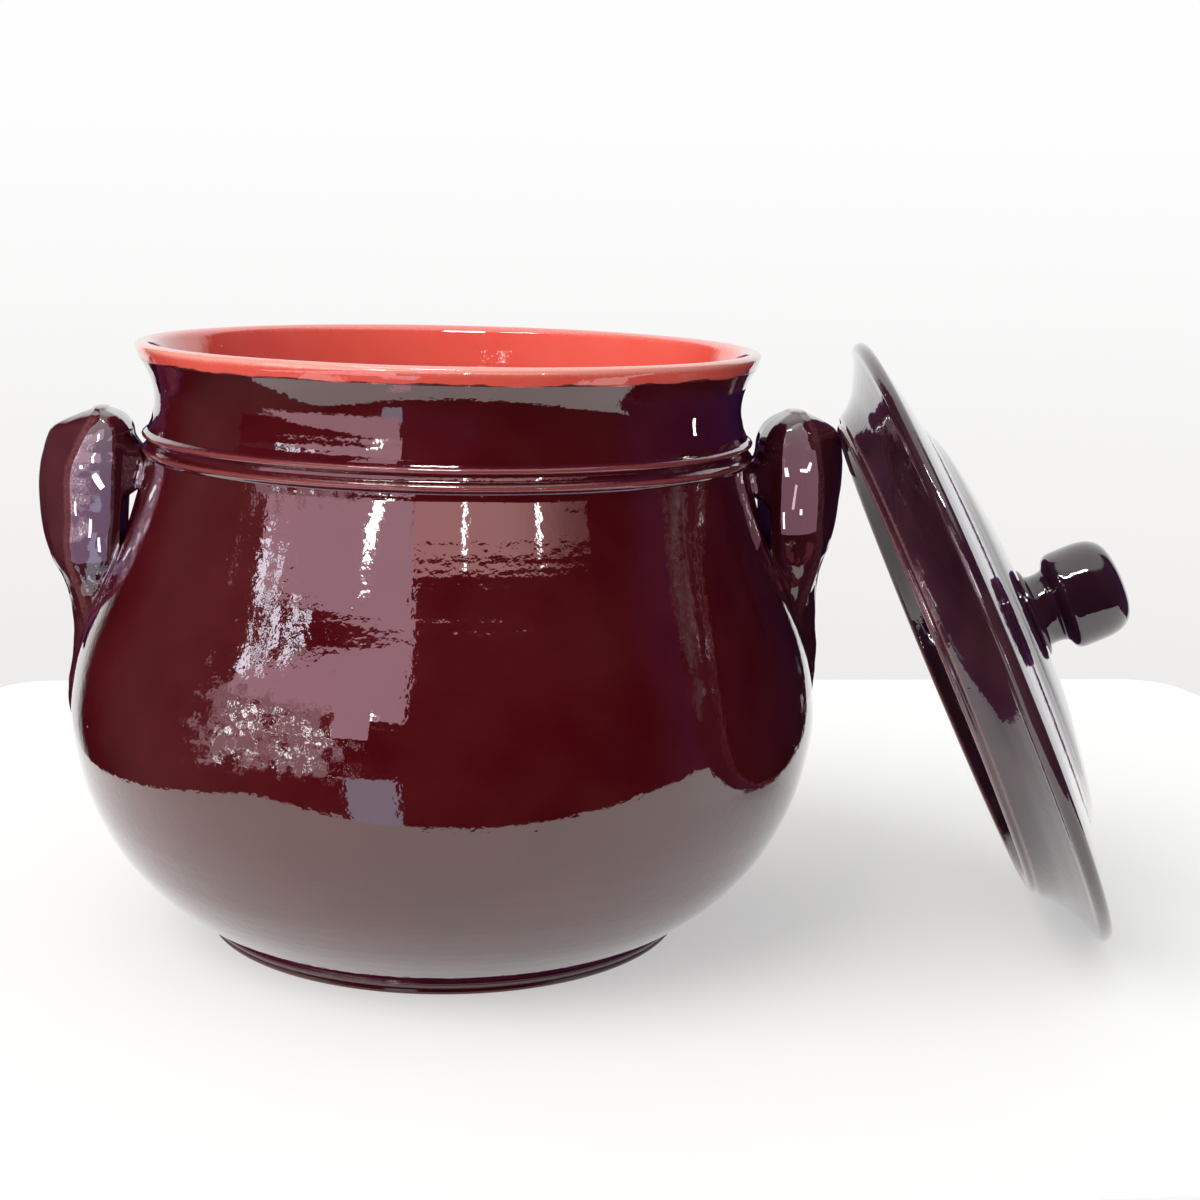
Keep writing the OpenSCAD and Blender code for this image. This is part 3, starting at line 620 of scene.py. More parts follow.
def terracotta():
    """Bare fired terracotta under the foot, matt and grainy; the brown glaze runs down the foot's side."""
    c = sizes("colours")
    material = empty_material("bare_fired_terracotta")
    tree = material.node_tree
    where = add(tree, "ShaderNodeTexCoord").outputs["Object"]
    # Grog grains are about 0.8 mm wide, and the fire's clouds 30 mm
    grain = add(tree, "ShaderNodeTexNoise", {"Vector": where, "Scale": 1250.0, "Detail": 3.0})
    cloud = add(tree, "ShaderNodeTexNoise", {"Vector": where, "Scale": 33.0, "Detail": 3.0})
    mixed = add(tree, "ShaderNodeMath", {0: grain, 1: cloud}, operation="MULTIPLY")
    shade = add(tree, "ShaderNodeMapRange", {"Value": mixed, "From Min": 0.1, "From Max": 0.4})
    dark = tuple(v * 0.72 for v in c.clay)
    colour = add(tree, "ShaderNodeMix", {"Factor": shade, "A": dark, "B": c.clay}, data_type="RGBA")
    # The glaze ends in an uneven line about 0.5 mm above the table
    level = add(tree, "ShaderNodeSeparateXYZ", {0: where}).outputs["Z"]
    level = add(tree, "ShaderNodeMath", {0: cloud, 1: 0.0006, 2: level}, operation="MULTIPLY_ADD")
    dipped = add(tree, "ShaderNodeMapRange", {"Value": level, "From Min": 0.0007, "From Max": 0.0009})
    colour = add(tree, "ShaderNodeMix", {"Factor": dipped, "A": colour, "B": c.brown}, data_type="RGBA")
    gloss = add(tree, "ShaderNodeMapRange", {"Value": dipped, "To Min": 0.85, "To Max": 0.08})
    # Turning marks go round the foot about 3 mm apart
    turned = add(tree, "ShaderNodeTexWave", {"Vector": where, "Scale": 100.0, "Distortion": 1.5,
                 "Detail": 1.0}, wave_type="RINGS", rings_direction="Z")
    height = add(tree, "ShaderNodeMath", {0: turned.outputs["Fac"], 1: 0.5, 2: grain},
                 operation="MULTIPLY_ADD")
    height = add(tree, "ShaderNodeMix", {"Factor": dipped, "A": height, "B": cloud})
    bump = add(tree, "ShaderNodeBump", {"Strength": 0.5, "Distance": 0.00025, "Height": height})
    shader = add(tree, "ShaderNodeBsdfPrincipled", {"Base Color": colour, "Roughness": gloss, "IOR": 1.6,
                 "Normal": bump})
    add(tree, "ShaderNodeOutputMaterial", {"Surface": shader})
    return material


def surface_line():
    """The whole line up the outside, over the lip and down inside, and the row where the glazes meet."""
    pot = sizes("pot")
    outside = np.vstack([[pot.foot_d / 2, pot.foot_round], with_cordons(wall_rows(OUTER_STEPS))])
    lip = smooth(np.array(LIP) * (pot.rim_d / 2, pot.height), LIP_STEPS)
    inner = moved(wall_rows(INNER_STEPS), pot.wall)
    inner = inner[len(inner) - 1 - INNER_STEPS * LIP_ROWS:INNER_STEPS * FLOOR_ROWS - 1:-1]
    floor = smooth(np.array(FLOOR) * (pot.rim_d / 2, pot.floor_t), LIP_STEPS)
    return np.vstack([outside, lip[1:], inner, floor]), len(outside) - 1


class COOKPOT_OT_clay(bpy.types.Operator):
    """Gives the turned clay body its bare terracotta"""
    bl_idname = "cookpot.clay"
    bl_label = "Clay body"

    def execute(self, context):
        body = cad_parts["pot_body"]
        body.data.materials.clear()
        body.data.materials.append(terracotta())
        return {"FINISHED"}


class COOKPOT_OT_coats(bpy.types.Operator):
    """Makes the brown coat outside and the red coat inside"""
    bl_idname = "cookpot.coats"
    bl_label = "Coats of glaze"

    def execute(self, context):
        pot = sizes("pot")
        line, glaze_line = surface_line()
        clay = moved(line, pot.glaze_t)
        thin = convexity(line)
        along = np.concatenate([[0], np.cumsum(np.linalg.norm(np.diff(line, axis=0), axis=1))])
        past = along - along[glaze_line]
        relief = np.ones(len(line))
        relief[:FOOT_ROWS] = np.linspace(0, 1, FOOT_ROWS)
        relief *= np.clip(abs(np.arange(len(line)) - glaze_line) / LINE_ROWS, 0, 1)
        # A coat's back, against the clay, needs only one row in so many
        brown, red = glaze("dark_brown_glaze_over_terracotta"), glaze("coral_red_glaze_over_slip")
        for name, node, first, last, material, every in (
                ("brown_coat", "outer_glaze", 0, glaze_line, brown, 10),
                ("red_coat", "inner_glaze", glaze_line, len(line) - 1, red, 6)):
            back = np.unique(np.append(np.arange(first, last, every), last))[::-1]
            rows = np.vstack([line[first:last + 1], clay[back]])
            raised = np.concatenate([relief[first:last + 1], np.zeros(len(back))])
            edge = np.concatenate([thin[first:last + 1], np.zeros(len(back))])
            beyond = np.concatenate([past[first:last + 1], past[back]])
            if rows[-1][0] > 0:
                rows, raised = np.vstack([rows, rows[:1]]), np.append(raised, raised[0])
                edge, beyond = np.append(edge, edge[0]), np.append(beyond, beyond[0])
            piece = turned_piece(name, rows, raised, edge, material, past=beyond)
            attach(piece, "pot")
            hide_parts(node)
        return {"FINISHED"}


def lug_section(row, handles, rim_r, height):
    """One level of a handle as a closed soft outline, from the inner face round to it again."""
    z, inner, corner, ridge, crest, share = row
    z, inner, corner, ridge, crest = z * height, inner * rim_r, corner * rim_r, ridge * rim_r, crest * rim_r
    half = share * handles.width / 2
    soft = min(handles.soft, half * SOFT_LIMIT, (ridge - corner) * SOFT_LIMIT)
    inner_soft = min(handles.inner_soft, half * SOFT_LIMIT, (ridge - corner) * SOFT_LIMIT)
    side = [(inner, 0.0), (inner + (corner - inner) * INNER_MID[0], half * INNER_MID[1]),
            (corner, half - inner_soft), (corner + inner_soft, half), (ridge - soft, half),
            (ridge + soft / 2, half - soft),
            (ridge + (crest - ridge) * SLOPE[0], half * SLOPE[1]),
            (ridge + (crest - ridge) * CREST[0], half * CREST[1]), (crest, 0.0)]
    ring = np.array(side + [(x, -y) for x, y in side[-2:0:-1]])
    # The glaze is thin on the two ridges, less so where the handle narrows to its tail
    wear = RIDGE_WEAR * min(max((share - 0.5) / 0.3, 0), 1)
    # Each long edge gets points near its ends, so that only the corners are cut. Edges 3 and 12 are
    # the handle's sides, which swell out, and 4 and 11 its ridges, where the glaze is worn.
    points, marks = [], []
    for k in range(len(ring)):
        a, b = ring[k], ring[(k + 1) % len(ring)]
        swollen = {3: handles.bulge, 12: -handles.bulge}.get(k, 0) * min(half / 0.012, 1)
        end = min(KEPT_END / max(np.linalg.norm(b - a), 1e-6), 0.34)
        for t in (0, end, 0.5, 1 - end):
            points.append(a + (b - a) * t + (0, swollen * 4 * t * (1 - t)))
            marks.append(wear if k in (4, 11) or (k in (5, 12) and t == 0) else 0)
    points, marks = np.array(points), np.array(marks)
    for _ in range(2):
        ahead, ahead_marks = np.roll(points, -1, axis=0), np.roll(marks, -1)
        points = np.stack([points * 0.75 + ahead * 0.25, points * 0.25 + ahead * 0.75], 1).reshape(-1, 2)
        marks = np.stack([marks * 0.75 + ahead_marks * 0.25,
                          marks * 0.25 + ahead_marks * 0.75], 1).reshape(-1)
    return z, points, marks


class COOKPOT_OT_handles(bpy.types.Operator):
    """Makes the two ear handles, pressed on to the wall"""
    bl_idname = "cookpot.handles"
    bl_label = "Ear handles"

    def execute(self, context):
        pot, handles = sizes("pot"), sizes("handles")
        rim_r, height = pot.rim_d / 2, pot.height
        wall = with_cordons(wall_rows(OUTER_STEPS))
        for name, node, rows, sign in (("left_handle", "handle_left", LEFT_HANDLE, -1),
                                       ("right_handle", "handle_right", RIGHT_HANDLE, 1)):
            levels = [lug_section(row, handles, rim_r, height) for row in smooth(rows, LIP_STEPS)]
            points, marks = [], []
            for z, ring, thin in levels:
                wall_r = np.interp(z, wall[:, 1], wall[:, 0])
                x, y = ring[:, 0].copy(), ring[:, 1].copy()
                from_wall = x - np.sqrt(np.maximum(wall_r ** 2 - y ** 2, 0))
                near = np.clip(1 - from_wall / handles.fillet, 0, 1)
                flare = handles.fillet * (1 - np.sqrt(np.maximum(1 - near ** 2, 0)))
                share = np.clip(abs(y) / (handles.width / 2), 0, 1)
                y += np.sign(y) * flare * np.clip(share * 1.6 - 0.3, 0, 1)
                points.append(np.column_stack([x, y, np.full(len(x), z)]))
                marks.append(thin)
            rings = list(points)
            # The top is closed by a low rounded cap
            top = points[-1]
            middle = top.mean(axis=0)
            for shrink in CAP_SHARES:
                lift = CAP_HEIGHT * math.sqrt(max(1 - shrink ** 2, 0))
                rings.append(middle + (top - middle) * shrink + (0, 0, lift))
                marks.append(marks[-1] * 0)
            count = len(rings[0])
            verts = np.vstack(rings)
            turned = verts * (sign, sign, 1)
            verts = np.array([self.pressed(Vector(v), handles, height, sign) for v in turned])
            faces = [(i * count + k, i * count + (k + 1) % count,
                      (i + 1) * count + (k + 1) % count, (i + 1) * count + k)
                     for i in range(len(rings) - 1) for k in range(count)]
            verts = np.vstack([verts, [verts[:count].mean(axis=0)], [verts[-count:].mean(axis=0)]])
            low, high = len(verts) - 2, len(verts) - 1
            last = (len(rings) - 1) * count
            faces += [(low, (k + 1) % count, k) for k in range(count)]
            faces += [(high, last + k, last + (k + 1) % count) for k in range(count)]
            mesh = bpy.data.meshes.new(name)
            mesh.from_pydata(verts.tolist(), [], faces)
            thin = np.append(np.concatenate(marks), [0, 0])
            mesh.attributes.new("thin", "FLOAT", "POINT").data.foreach_set("value", thin)
            # A strap is pulled, not thrown: its rings lie much wider apart than the pot's
            mesh.attributes.new("along", "FLOAT", "POINT").data.foreach_set("value", verts[:, 2] * 0.4)
            piece = finished(name, mesh, glaze("dark_brown_glaze_on_handles"))
            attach(piece, "pot")
            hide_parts(node)
        return {"FINISHED"}

    @staticmethod
    def pressed(v, handles, height, sign):
        """The point moved in by the potter's thumb marks, deepest where the tail is smeared down."""
        tail = min(max((0.66 * height - v.z) / (0.12 * height), 0), 1)
        soft = noise.noise(v * THUMB_MARKS + Vector((sign * 7, 3, 1)))
        lumps = noise.noise(v * SMEARS + Vector((sign * 5, 9, 4)))
        depth = handles.thumb_depth * (0.35 + 0.65 * tail) * (0.5 + 0.5 * soft)
        depth += handles.thumb_depth * 1.3 * tail * (0.5 + 0.5 * lumps)
        out = Vector((v.x, v.y, 0)).normalized()
        # The sides are as uneven as the face: up to 0.3 mm, and 0.9 mm on the tail
        uneven = noise.noise(Vector((v.x * 90, sign, v.z * 130))) + tail * noise.noise(v * 260)
        return v - out * depth + Vector((0, v.y * 0.03 * uneven, 0))


def lid_place():
    """How the lid stands: on its bead, leaning until its flange meets the right handle."""
    pot, lid = sizes("pot"), sizes("lid")
    lid_r = pot.rim_d / 2 + lid.overhang
    flange_r = flange_radius()
    side = lid_r - lid.bead_r + flange_r - lid.flange_t / 2
    depth = lid.flange_depth - lid.flange_t / 2
    reach = REST_HEIGHT * pot.height - lid.bead_r
    lean = math.acos(reach / math.hypot(side, depth)) - math.atan2(depth, side)
    middle = Vector((lid.lean_x, -pot.rim_d / 2 * FORWARD,
                     (lid_r - lid.bead_r) * math.cos(lean) + lid.bead_r))
    turn = Matrix.Rotation(-lid.turn, 4, "Z") @ Matrix.Rotation(math.pi / 2 - lean, 4, "Y")
    return Matrix.Translation(middle) @ turn


def flange_radius():
    """Outer radius of the flange, which drops into the narrowest part of the mouth."""
    pot, lid = sizes("pot"), sizes("lid")
    inner = moved(wall_rows(INNER_STEPS), pot.wall)
    upper = inner[inner[:, 1] > pot.height / 2][:-INNER_STEPS * LIP_ROWS]
    return upper[:, 0].min() - lid.flange_gap


class COOKPOT_OT_lid(bpy.types.Operator):
    """Makes the domed lid that leans on the right handle"""
    bl_idname = "cookpot.lid"
    bl_label = "Lid"

    def execute(self, context):
        pot, lid = sizes("pot"), sizes("lid")
        lid_r = pot.rim_d / 2 + lid.overhang
        flange_r = flange_radius()
        round_r = lid.flange_t / 2
        crown = [(r, lid.dome_h) for r in (lid.collar_d / 2 + lid.collar_h, lid.collar_d / 2, 0)]
        upper_rows = np.vstack([np.array(LID_TOP) * (lid_r, lid.dome_h), crown])
        upper = smooth(upper_rows, OUTER_STEPS)
        lower = smooth(np.array(LID_UNDER) * (lid_r, lid.flange_depth), LIP_STEPS)
        ceiling = moved(smooth(upper_rows, INNER_STEPS), lid.thickness)[INNER_STEPS * BRIM_ROWS:][::-1]
        flange_end = arc((flange_r - round_r, round_r - lid.flange_depth), round_r, 180, 360, 16)
        inner = np.array(LID_INNER) * (flange_r - lid.flange_t, lid.flange_depth)
        bead = arc((lid_r - lid.bead_r, 0), lid.bead_r - HAIR, -90, 90, 16)
        under = smooth(np.vstack([ceiling[:-1], inner[::-1]]), 2)
        rows = np.vstack([under, flange_end, lower[::-1], bead, upper])
        keep = np.append(True, np.linalg.norm(np.diff(rows, axis=0), axis=1) > 1e-5)
        rows = rows[keep]
        # Only the flange's end shows its clay through the glaze
        thin = convexity(rows) * np.where(rows[:, 1] < -0.7 * lid.flange_depth, 1, LID_THINNING)
        # The uneven wall fades out over 10 mm, up to 6 mm from the edge, and under the knob
        relief = np.clip((lid_r - 0.006 - rows[:, 0]) / 0.01, 0, 1)
        crowned = (rows[:, 1] > lid.dome_h * 0.98) & (rows[:, 0] < lid.collar_d / 2 + 0.002)
        relief[crowned] = 0
        piece = turned_piece("lid_plate_glazed", rows, relief, thin, glaze("dark_brown_glaze_on_lid_with_painted_shade"),
                             place=lid_place(), **{"Seed": 4.0})
        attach(piece, "lid")
        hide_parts("lid_plate")
        return {"FINISHED"}


class COOKPOT_OT_knob(bpy.types.Operator):
    """Makes the turned knob on the lid's crown"""
    bl_idname = "cookpot.knob"
    bl_label = "Knob"

    def execute(self, context):
        lid = sizes("lid")
        round_r = lid.collar_h / 2
        collar = arc((lid.collar_d / 2 - round_r, round_r), round_r, -90, 90, 12)
        neck = np.array(KNOB_NECK) * lid.collar_h + (lid.neck_d / 2, 0)
        head = np.array(KNOB_HEAD) * (lid.knob_d / 2, lid.knob_h)
        rows = np.vstack([[(0, 0)], collar, smooth(np.vstack([neck, head]), LIP_STEPS)])
        thin = convexity(rows) * LID_THINNING
        # No relief on the lowest 4 mm, where the knob stands on the crown
        relief = np.clip(rows[:, 1] / 0.008 - 0.5, 0, 1)
        place = lid_place() @ Matrix.Translation((-lid.knob_off, 0, lid.dome_h))
        piece = turned_piece("lid_knob_glazed", rows, relief, thin, glaze("dark_brown_glaze_on_lid_with_painted_shade"),
                             steps=KNOB_STEPS, place=place,
                             **{"Ring depth": 0.00006, "Lump depth": 0.00012, "Lump size": 0.016,
                                "Seed": 6.0})
        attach(piece, "lid")
        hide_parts("lid_knob")
        return {"FINISHED"}


class COOKPOT_OT_studio(bpy.types.Operator):
    """Makes the white table, the soft light and the camera"""
    bl_idname = "cookpot.studio"
    bl_label = "Studio"

    def execute(self, context):
        scene = context.scene
        studio = scene.cookpot_studio
        scene.view_settings.view_transform = "Standard"
        self.camera(scene, studio)
        self.table(scene)
        self.world(scene, studio)
        self.lamps(scene, studio)
        return {"FINISHED"}

    def camera(self, scene, studio):
        """The camera where the photograph was taken from."""
        data = bpy.data.cameras.new("camera")
        data.lens = studio.focal
        data.sensor_width = SENSOR
        data.dof.use_dof = False
        made = bpy.data.objects.new("camera", data)
        turn = Matrix((CAMERA_RIGHT, CAMERA_UP, -Vector(CAMERA_FORWARD))).transposed().to_4x4()
        made.matrix_world = Matrix.Translation(CAMERA_AT) @ turn
        scene.collection.objects.link(made)
        scene.camera = made

    def table(self, scene):
        """A white cloth over a small table, with its front edge just below the photograph's frame."""
        material = empty_material("white_table_cloth")
        tree = material.node_tree
        where = add(tree, "ShaderNodeTexCoord").outputs["Object"]
        weave = add(tree, "ShaderNodeTexNoise", {"Vector": where, "Scale": 9.0, "Detail": 2.0})
        bump = add(tree, "ShaderNodeBump", {"Strength": 0.3, "Distance": 0.004, "Height": weave})
        cloth = add(tree, "ShaderNodeBsdfPrincipled", {"Base Color": linear("F8F7F3"), "Roughness": 0.9,
                    "Normal": bump})
        # The photograph's cloth is nearly blown out: part of its white is kept even in the shade
        white = add(tree, "ShaderNodeEmission", {"Color": (1, 1, 1), "Strength": 1.0})
        rays = add(tree, "ShaderNodeLightPath").outputs
        seen = add(tree, "ShaderNodeMath", {0: rays["Is Camera Ray"], 1: rays["Is Glossy Ray"]},
                   operation="MAXIMUM")
        share = add(tree, "ShaderNodeMath", {0: seen, 1: CLOTH_WHITE}, operation="MULTIPLY")
        both = add(tree, "ShaderNodeMixShader", {0: share, 1: cloth, 2: white})
        # A reflection of a reflection is dark in the photograph
        twice = add(tree, "ShaderNodeMath", {0: rays["Glossy Depth"], 1: 1.5}, operation="GREATER_THAN")
        dark = add(tree, "ShaderNodeEmission", {"Color": linear(MIRRORED_TWICE), "Strength": 1.0})
        both = add(tree, "ShaderNodeMixShader", {0: twice, 1: both, 2: dark})
        add(tree, "ShaderNodeOutputMaterial", {"Surface": both})
        mesh = bpy.data.meshes.new("table")
        corners = []
        for k, (x, y) in enumerate(TABLE):
            centre = (x - math.copysign(TABLE_ROUND, x), y - math.copysign(TABLE_ROUND, y))
            corners += arc(centre, TABLE_ROUND, 180 + 90 * k, 270 + 90 * k, 8).tolist()
        count = len(corners)
        verts = [(x, y, z) for z in (0.0, -TABLE_DROP) for x, y in corners]
        sides = [(k, k + count, (k + 1) % count + count, (k + 1) % count) for k in range(count)]
        mesh.from_pydata(verts, [], [tuple(range(count))] + sides)
        mesh.materials.append(material)
        made = bpy.data.objects.new("table", mesh)
        scene.collection.objects.link(made)

    def world(self, scene, studio):
        """White all round, and a dark room in front that only the glaze's reflections see."""
        world = bpy.data.worlds.new("studio")
        world.use_nodes = True
        tree = world.node_tree
        tree.nodes.clear()
        way = add(tree, "ShaderNodeTexCoord").outputs["Generated"]
        up = add(tree, "ShaderNodeSeparateXYZ", {0: way}).outputs["Z"]
        # The room opens towards -Y: 130 degrees to either side and 60 degrees up
        flat = add(tree, "ShaderNodeVectorMath", {0: way, 1: (1, 1, 0)}, operation="MULTIPLY")
        level = add(tree, "ShaderNodeVectorMath", {0: flat}, operation="NORMALIZE")
        level = add(tree, "ShaderNodeSeparateXYZ", {0: level}).outputs
        behind = add(tree, "ShaderNodeMath", {0: level["X"], 1: 0.2, 2: level["Y"]},
                     operation="MULTIPLY_ADD")
        side = add(tree, "ShaderNodeMapRange", {"Value": behind, "From Min": 0.66, "From Max": 0.80},
                   **SOFT_STEP)
        above = add(tree, "ShaderNodeMapRange", {"Value": up, "From Min": 0.80, "From Max": 0.90},
                    **SOFT_STEP)
        white = add(tree, "ShaderNodeMath", {0: side, 1: above}, operation="MAXIMUM")
        right = add(tree, "ShaderNodeMapRange", {"Value": level["X"], "From Min": 0.86, "From Max": 1.0},
                    **SOFT_STEP)
        left = add(tree, "ShaderNodeMapRange", {"Value": level["X"], "From Min": -0.75, "From Max": -1.0},
                   **SOFT_STEP)
        room = add(tree, "ShaderNodeMix", {"Factor": right, "A": linear("140810"), "B": linear("3A2850")},
                   data_type="RGBA")
        room = add(tree, "ShaderNodeMix", {"Factor": left, "A": room, "B": linear("4A4444")},
                   data_type="RGBA")
        seen = add(tree, "ShaderNodeMix", {"Factor": white, "A": room, "B": linear("F2F2F2")},
                   data_type="RGBA")
        # The light is even, but about twice as strong from the left as from the right
        lean = add(tree, "ShaderNodeVectorMath", {0: way, 1: (-0.85, -0.30, 0.43)},
                   operation="DOT_PRODUCT")
        lean = add(tree, "ShaderNodeMath", {0: lean, 1: LEFT_STRONGER * studio.fill, 2: studio.fill},
                   operation="MULTIPLY_ADD")
        # The wall behind is a little greyer just over the table than higher up
        wall = add(tree, "ShaderNodeMapRange", {"Value": up, "From Min": -0.22, "From Max": 0.04})
        wall = add(tree, "ShaderNodeMix", {"Factor": wall, "A": linear("EFEDEC"), "B": linear("FEFEFE")},
                   data_type="RGBA")
        rays = add(tree, "ShaderNodeLightPath").outputs
        twice = add(tree, "ShaderNodeMath", {0: rays["Glossy Depth"], 1: 1.5}, operation="GREATER_THAN")
        seen = add(tree, "ShaderNodeMix", {"Factor": twice, "A": seen, "B": linear(MIRRORED_TWICE)},
                   data_type="RGBA")
        fill = add(tree, "ShaderNodeBackground", {"Color": (1, 1, 1), "Strength": lean})
        mirror = add(tree, "ShaderNodeBackground", {"Color": seen, "Strength": 1.0})
        plain = add(tree, "ShaderNodeBackground", {"Color": wall, "Strength": 1.0})
        first = add(tree, "ShaderNodeMixShader", {0: rays["Is Glossy Ray"], 1: fill, 2: mirror})
        second = add(tree, "ShaderNodeMixShader", {0: rays["Is Camera Ray"], 1: first, 2: plain})
        add(tree, "ShaderNodeOutputWorld", {"Surface": second})
        scene.world = world

    def lamps(self, scene, studio):
        """One large soft key lamp, and the window, shelf and lights that show only in the gloss."""
        key = bpy.data.lights.new("key", "SUN")
        key.energy, key.angle = studio.key, math.radians(50)
        made = bpy.data.objects.new("key", key)
        made.matrix_world = Vector(KEY_FROM).to_track_quat("Z", "Y").to_matrix().to_4x4()
        made.visible_glossy = False
        made.visible_camera = False
        scene.collection.objects.link(made)
        for number, card in enumerate(CARDS):
            self.card(scene, number, *card)
        handles = bpy.data.collections.new("handles_that_the_cards_light")
        for handle in ("left_handle", "right_handle"):
            handles.objects.link(bpy.data.objects[handle])
        lid = bpy.data.collections.new("lid_that_the_cards_light")
        lid.objects.link(bpy.data.objects["lid_plate_glazed"])
        for number, card in enumerate(LID_CARDS):
            self.card(scene, number, *card, seers=lid)
        for sheet in SHEETS:
            self.sheet(scene, handles, *sheet)
        for number, glint in enumerate(GLINTS, 1):
            self.sheet(scene, handles, "glint_%d" % number, GLINTS_AT, *glint)
        for sheet in BEHIND:
            self.sheet(scene, None, *sheet)

    def card(self, scene, number, name, radius, low, high, bottom, top, strength, code,
             share=1, grain=10, fade=0, seers=None):
        """A card bent round the pot's axis, which only the gloss sees: of all pieces, or of the seers."""
        verts, places, steps = [], [], CARD_STEPS
        radius -= CARD_STEP_IN * number
        for j in range(steps + 1):
            v = j / steps
            for k in range(steps + 1):
                u = k / steps
                turn = math.radians((low[0] + (low[1] - low[0]) * u) * (1 - v)
                                    + (high[0] + (high[1] - high[0]) * u) * v)
                verts.append((radius * math.sin(turn), -radius * math.cos(turn),
                              bottom + (top - bottom) * v))
                places.append((u, v))
        row = steps + 1
        faces = [(j * row + k, j * row + k + 1, (j + 1) * row + k + 1, (j + 1) * row + k)
                 for j in range(steps) for k in range(steps)]
        self.glowing(scene, name, verts, faces, places, strength, (code, code), share, grain, fade, seers)

    def sheet(self, scene, seers, name, y, centre, size, tilt, strength, codes=("FFFFFF", "FFFFFF"),
              share=1, grain=10):
        """A flat card in front of a handle or behind it: one with seers adds light to them alone."""
        cos, sin = math.cos(math.radians(tilt)), math.sin(math.radians(tilt))
        places = ((0, 0), (1, 0), (1, 1), (0, 1))
        verts = []
        for u, v in places:
            x, z = (u - 0.5) * size[0], (v - 0.5) * size[1]
            verts.append((centre[0] + x * cos - z * sin, y, centre[1] + x * sin + z * cos))
        self.glowing(scene, name, verts, [(0, 1, 2, 3)], places, strength, codes, share, grain, 0, seers)

    def glowing(self, scene, name, verts, faces, places, strength, codes, share, grain, fade, seers):
        """A card of any shape on the stage, all of it or patches of it in its colours high up and low."""
        mesh = bpy.data.meshes.new(name)
        mesh.from_pydata(verts, [], faces)
        layer = mesh.uv_layers.new(name="UVMap")
        for loop in mesh.loops:
            layer.data[loop.index].uv = places[loop.vertex_index]
        material = empty_material(name)
        tree = material.node_tree
        where = add(tree, "ShaderNodeTexCoord").outputs
        across = add(tree, "ShaderNodeSeparateXYZ", {0: where["UV"]}).outputs
        # It may fade over its right half, and its colour turns from the low one to the high one
        level = add(tree, "ShaderNodeMapRange", {"Value": across["X"], "From Min": 0.45, "From Max": 1.0,
                    "To Min": strength, "To Max": strength * (1 - fade)}, **SOFT_STEP)
        tone = add(tree, "ShaderNodeMapRange", {"Value": across["Y"], "From Min": 0.12, "From Max": 0.62},
                   **SOFT_STEP)
        tone = add(tree, "ShaderNodeMix", {"Factor": tone, "A": linear(codes[1]), "B": linear(codes[0])},
                   data_type="RGBA")
        glow = add(tree, "ShaderNodeEmission", {"Color": tone, "Strength": level})
        clear = add(tree, "ShaderNodeBsdfTransparent")
        patches = add(tree, "ShaderNodeTexNoise", {"Vector": where["Object"], "Scale": grain,
                      "Detail": 3.0, "Roughness": 0.6})
        # The patches thin out towards the card's edges
        off = []
        for axis in ("X", "Y"):
            aside = add(tree, "ShaderNodeMath", {0: across[axis], 1: 0.5}, operation="SUBTRACT")
            off.append(add(tree, "ShaderNodeMath", {0: aside}, operation="ABSOLUTE"))
        off = add(tree, "ShaderNodeMath", {0: off[0], 1: off[1]}, operation="MAXIMUM")
        off = add(tree, "ShaderNodeMapRange", {"Value": off, "From Min": 0.25, "From Max": 0.50,
                  "To Max": PATCH_THINNING})
        patches = add(tree, "ShaderNodeMath", {0: patches, 1: off}, operation="SUBTRACT")
        # The noise lies round 0.5: this is the level that lets about that share of it show
        edge = 0.5 + 0.42 * (0.5 - share)
        shown = add(tree, "ShaderNodeMapRange", {"Value": patches, "From Min": edge - PATCH_SOFT,
                    "From Max": edge + PATCH_SOFT})
        if share >= 1:
            shown = 1.0
        out = add(tree, "ShaderNodeMixShader", {0: shown, 1: clear, 2: glow})
        if seers:
            # A ray goes through, and only the seers get the card's light: the wall beside them doesn't
            dim = add(tree, "ShaderNodeMix", {"Factor": shown, "A": (0, 0, 0), "B": tone},
                      data_type="RGBA")
            glow = add(tree, "ShaderNodeEmission", {"Color": dim, "Strength": level})
            out = add(tree, "ShaderNodeAddShader", {0: clear, 1: glow})
        add(tree, "ShaderNodeOutputMaterial", {"Surface": out})
        mesh.materials.append(material)
        made = bpy.data.objects.new(name, mesh)
        made.visible_camera = made.visible_diffuse = made.visible_shadow = False
        if seers:
            made.light_linking.receiver_collection = seers
        scene.collection.objects.link(made)


class COOKPOT_PT_pieces(bpy.types.Panel):
    """The sizes and the pieces of the cooking pot"""
    bl_idname = "COOKPOT_PT_pieces"
    bl_label = "Cooking pot"
    bl_space_type = "VIEW_3D"
    bl_region_type = "UI"
    bl_category = "Cooking pot"

    def draw(self, context):
        layout = self.layout
        for group in ("cookpot_pot", "cookpot_handles", "cookpot_lid", "cookpot_colours", "cookpot_studio"):
            settings = getattr(context.scene, group)
            box = layout.box()
            for key in settings.bl_rna.properties.keys():
                if key not in ("rna_type", "name"):
                    box.prop(settings, key)
        for operator in OPERATORS:
            layout.operator(operator.bl_idname)


OPERATORS = (COOKPOT_OT_clay, COOKPOT_OT_coats, COOKPOT_OT_handles, COOKPOT_OT_lid, COOKPOT_OT_knob,
             COOKPOT_OT_studio)
GROUPS = (("cookpot_pot", PotSizes), ("cookpot_handles", HandleSizes), ("cookpot_lid", LidSizes),
          ("cookpot_colours", GlazeColours), ("cookpot_studio", StudioSettings))


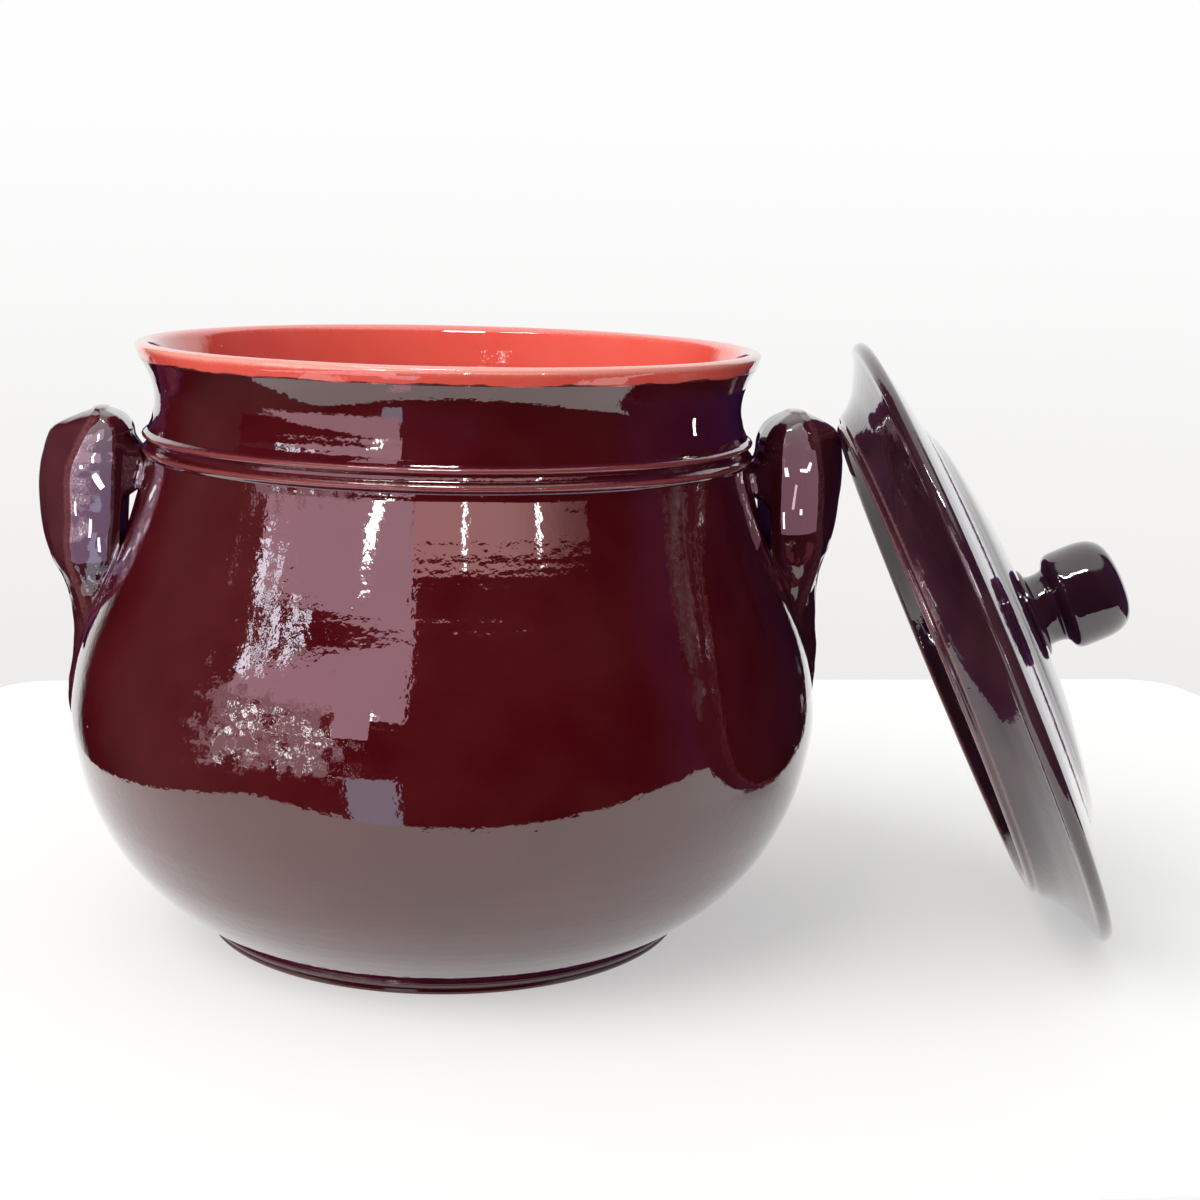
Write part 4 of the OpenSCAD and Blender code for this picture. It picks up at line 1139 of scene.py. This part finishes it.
def register():
    for name, group in GROUPS:
        bpy.utils.register_class(group)
        setattr(bpy.types.Scene, name, PointerProperty(type=group))
    for operator in OPERATORS:
        bpy.utils.register_class(operator)
    bpy.utils.register_class(COOKPOT_PT_pieces)


def unregister():
    bpy.utils.unregister_class(COOKPOT_PT_pieces)
    for operator in reversed(OPERATORS):
        bpy.utils.unregister_class(operator)
    for name, group in reversed(GROUPS):
        delattr(bpy.types.Scene, name)
        bpy.utils.unregister_class(group)


def main():
    register()
    bpy.ops.cookpot.clay()
    bpy.ops.cookpot.coats()
    bpy.ops.cookpot.handles()
    bpy.ops.cookpot.lid()
    bpy.ops.cookpot.knob()
    bpy.ops.cookpot.studio()


if __name__ == "__main__":
    main()
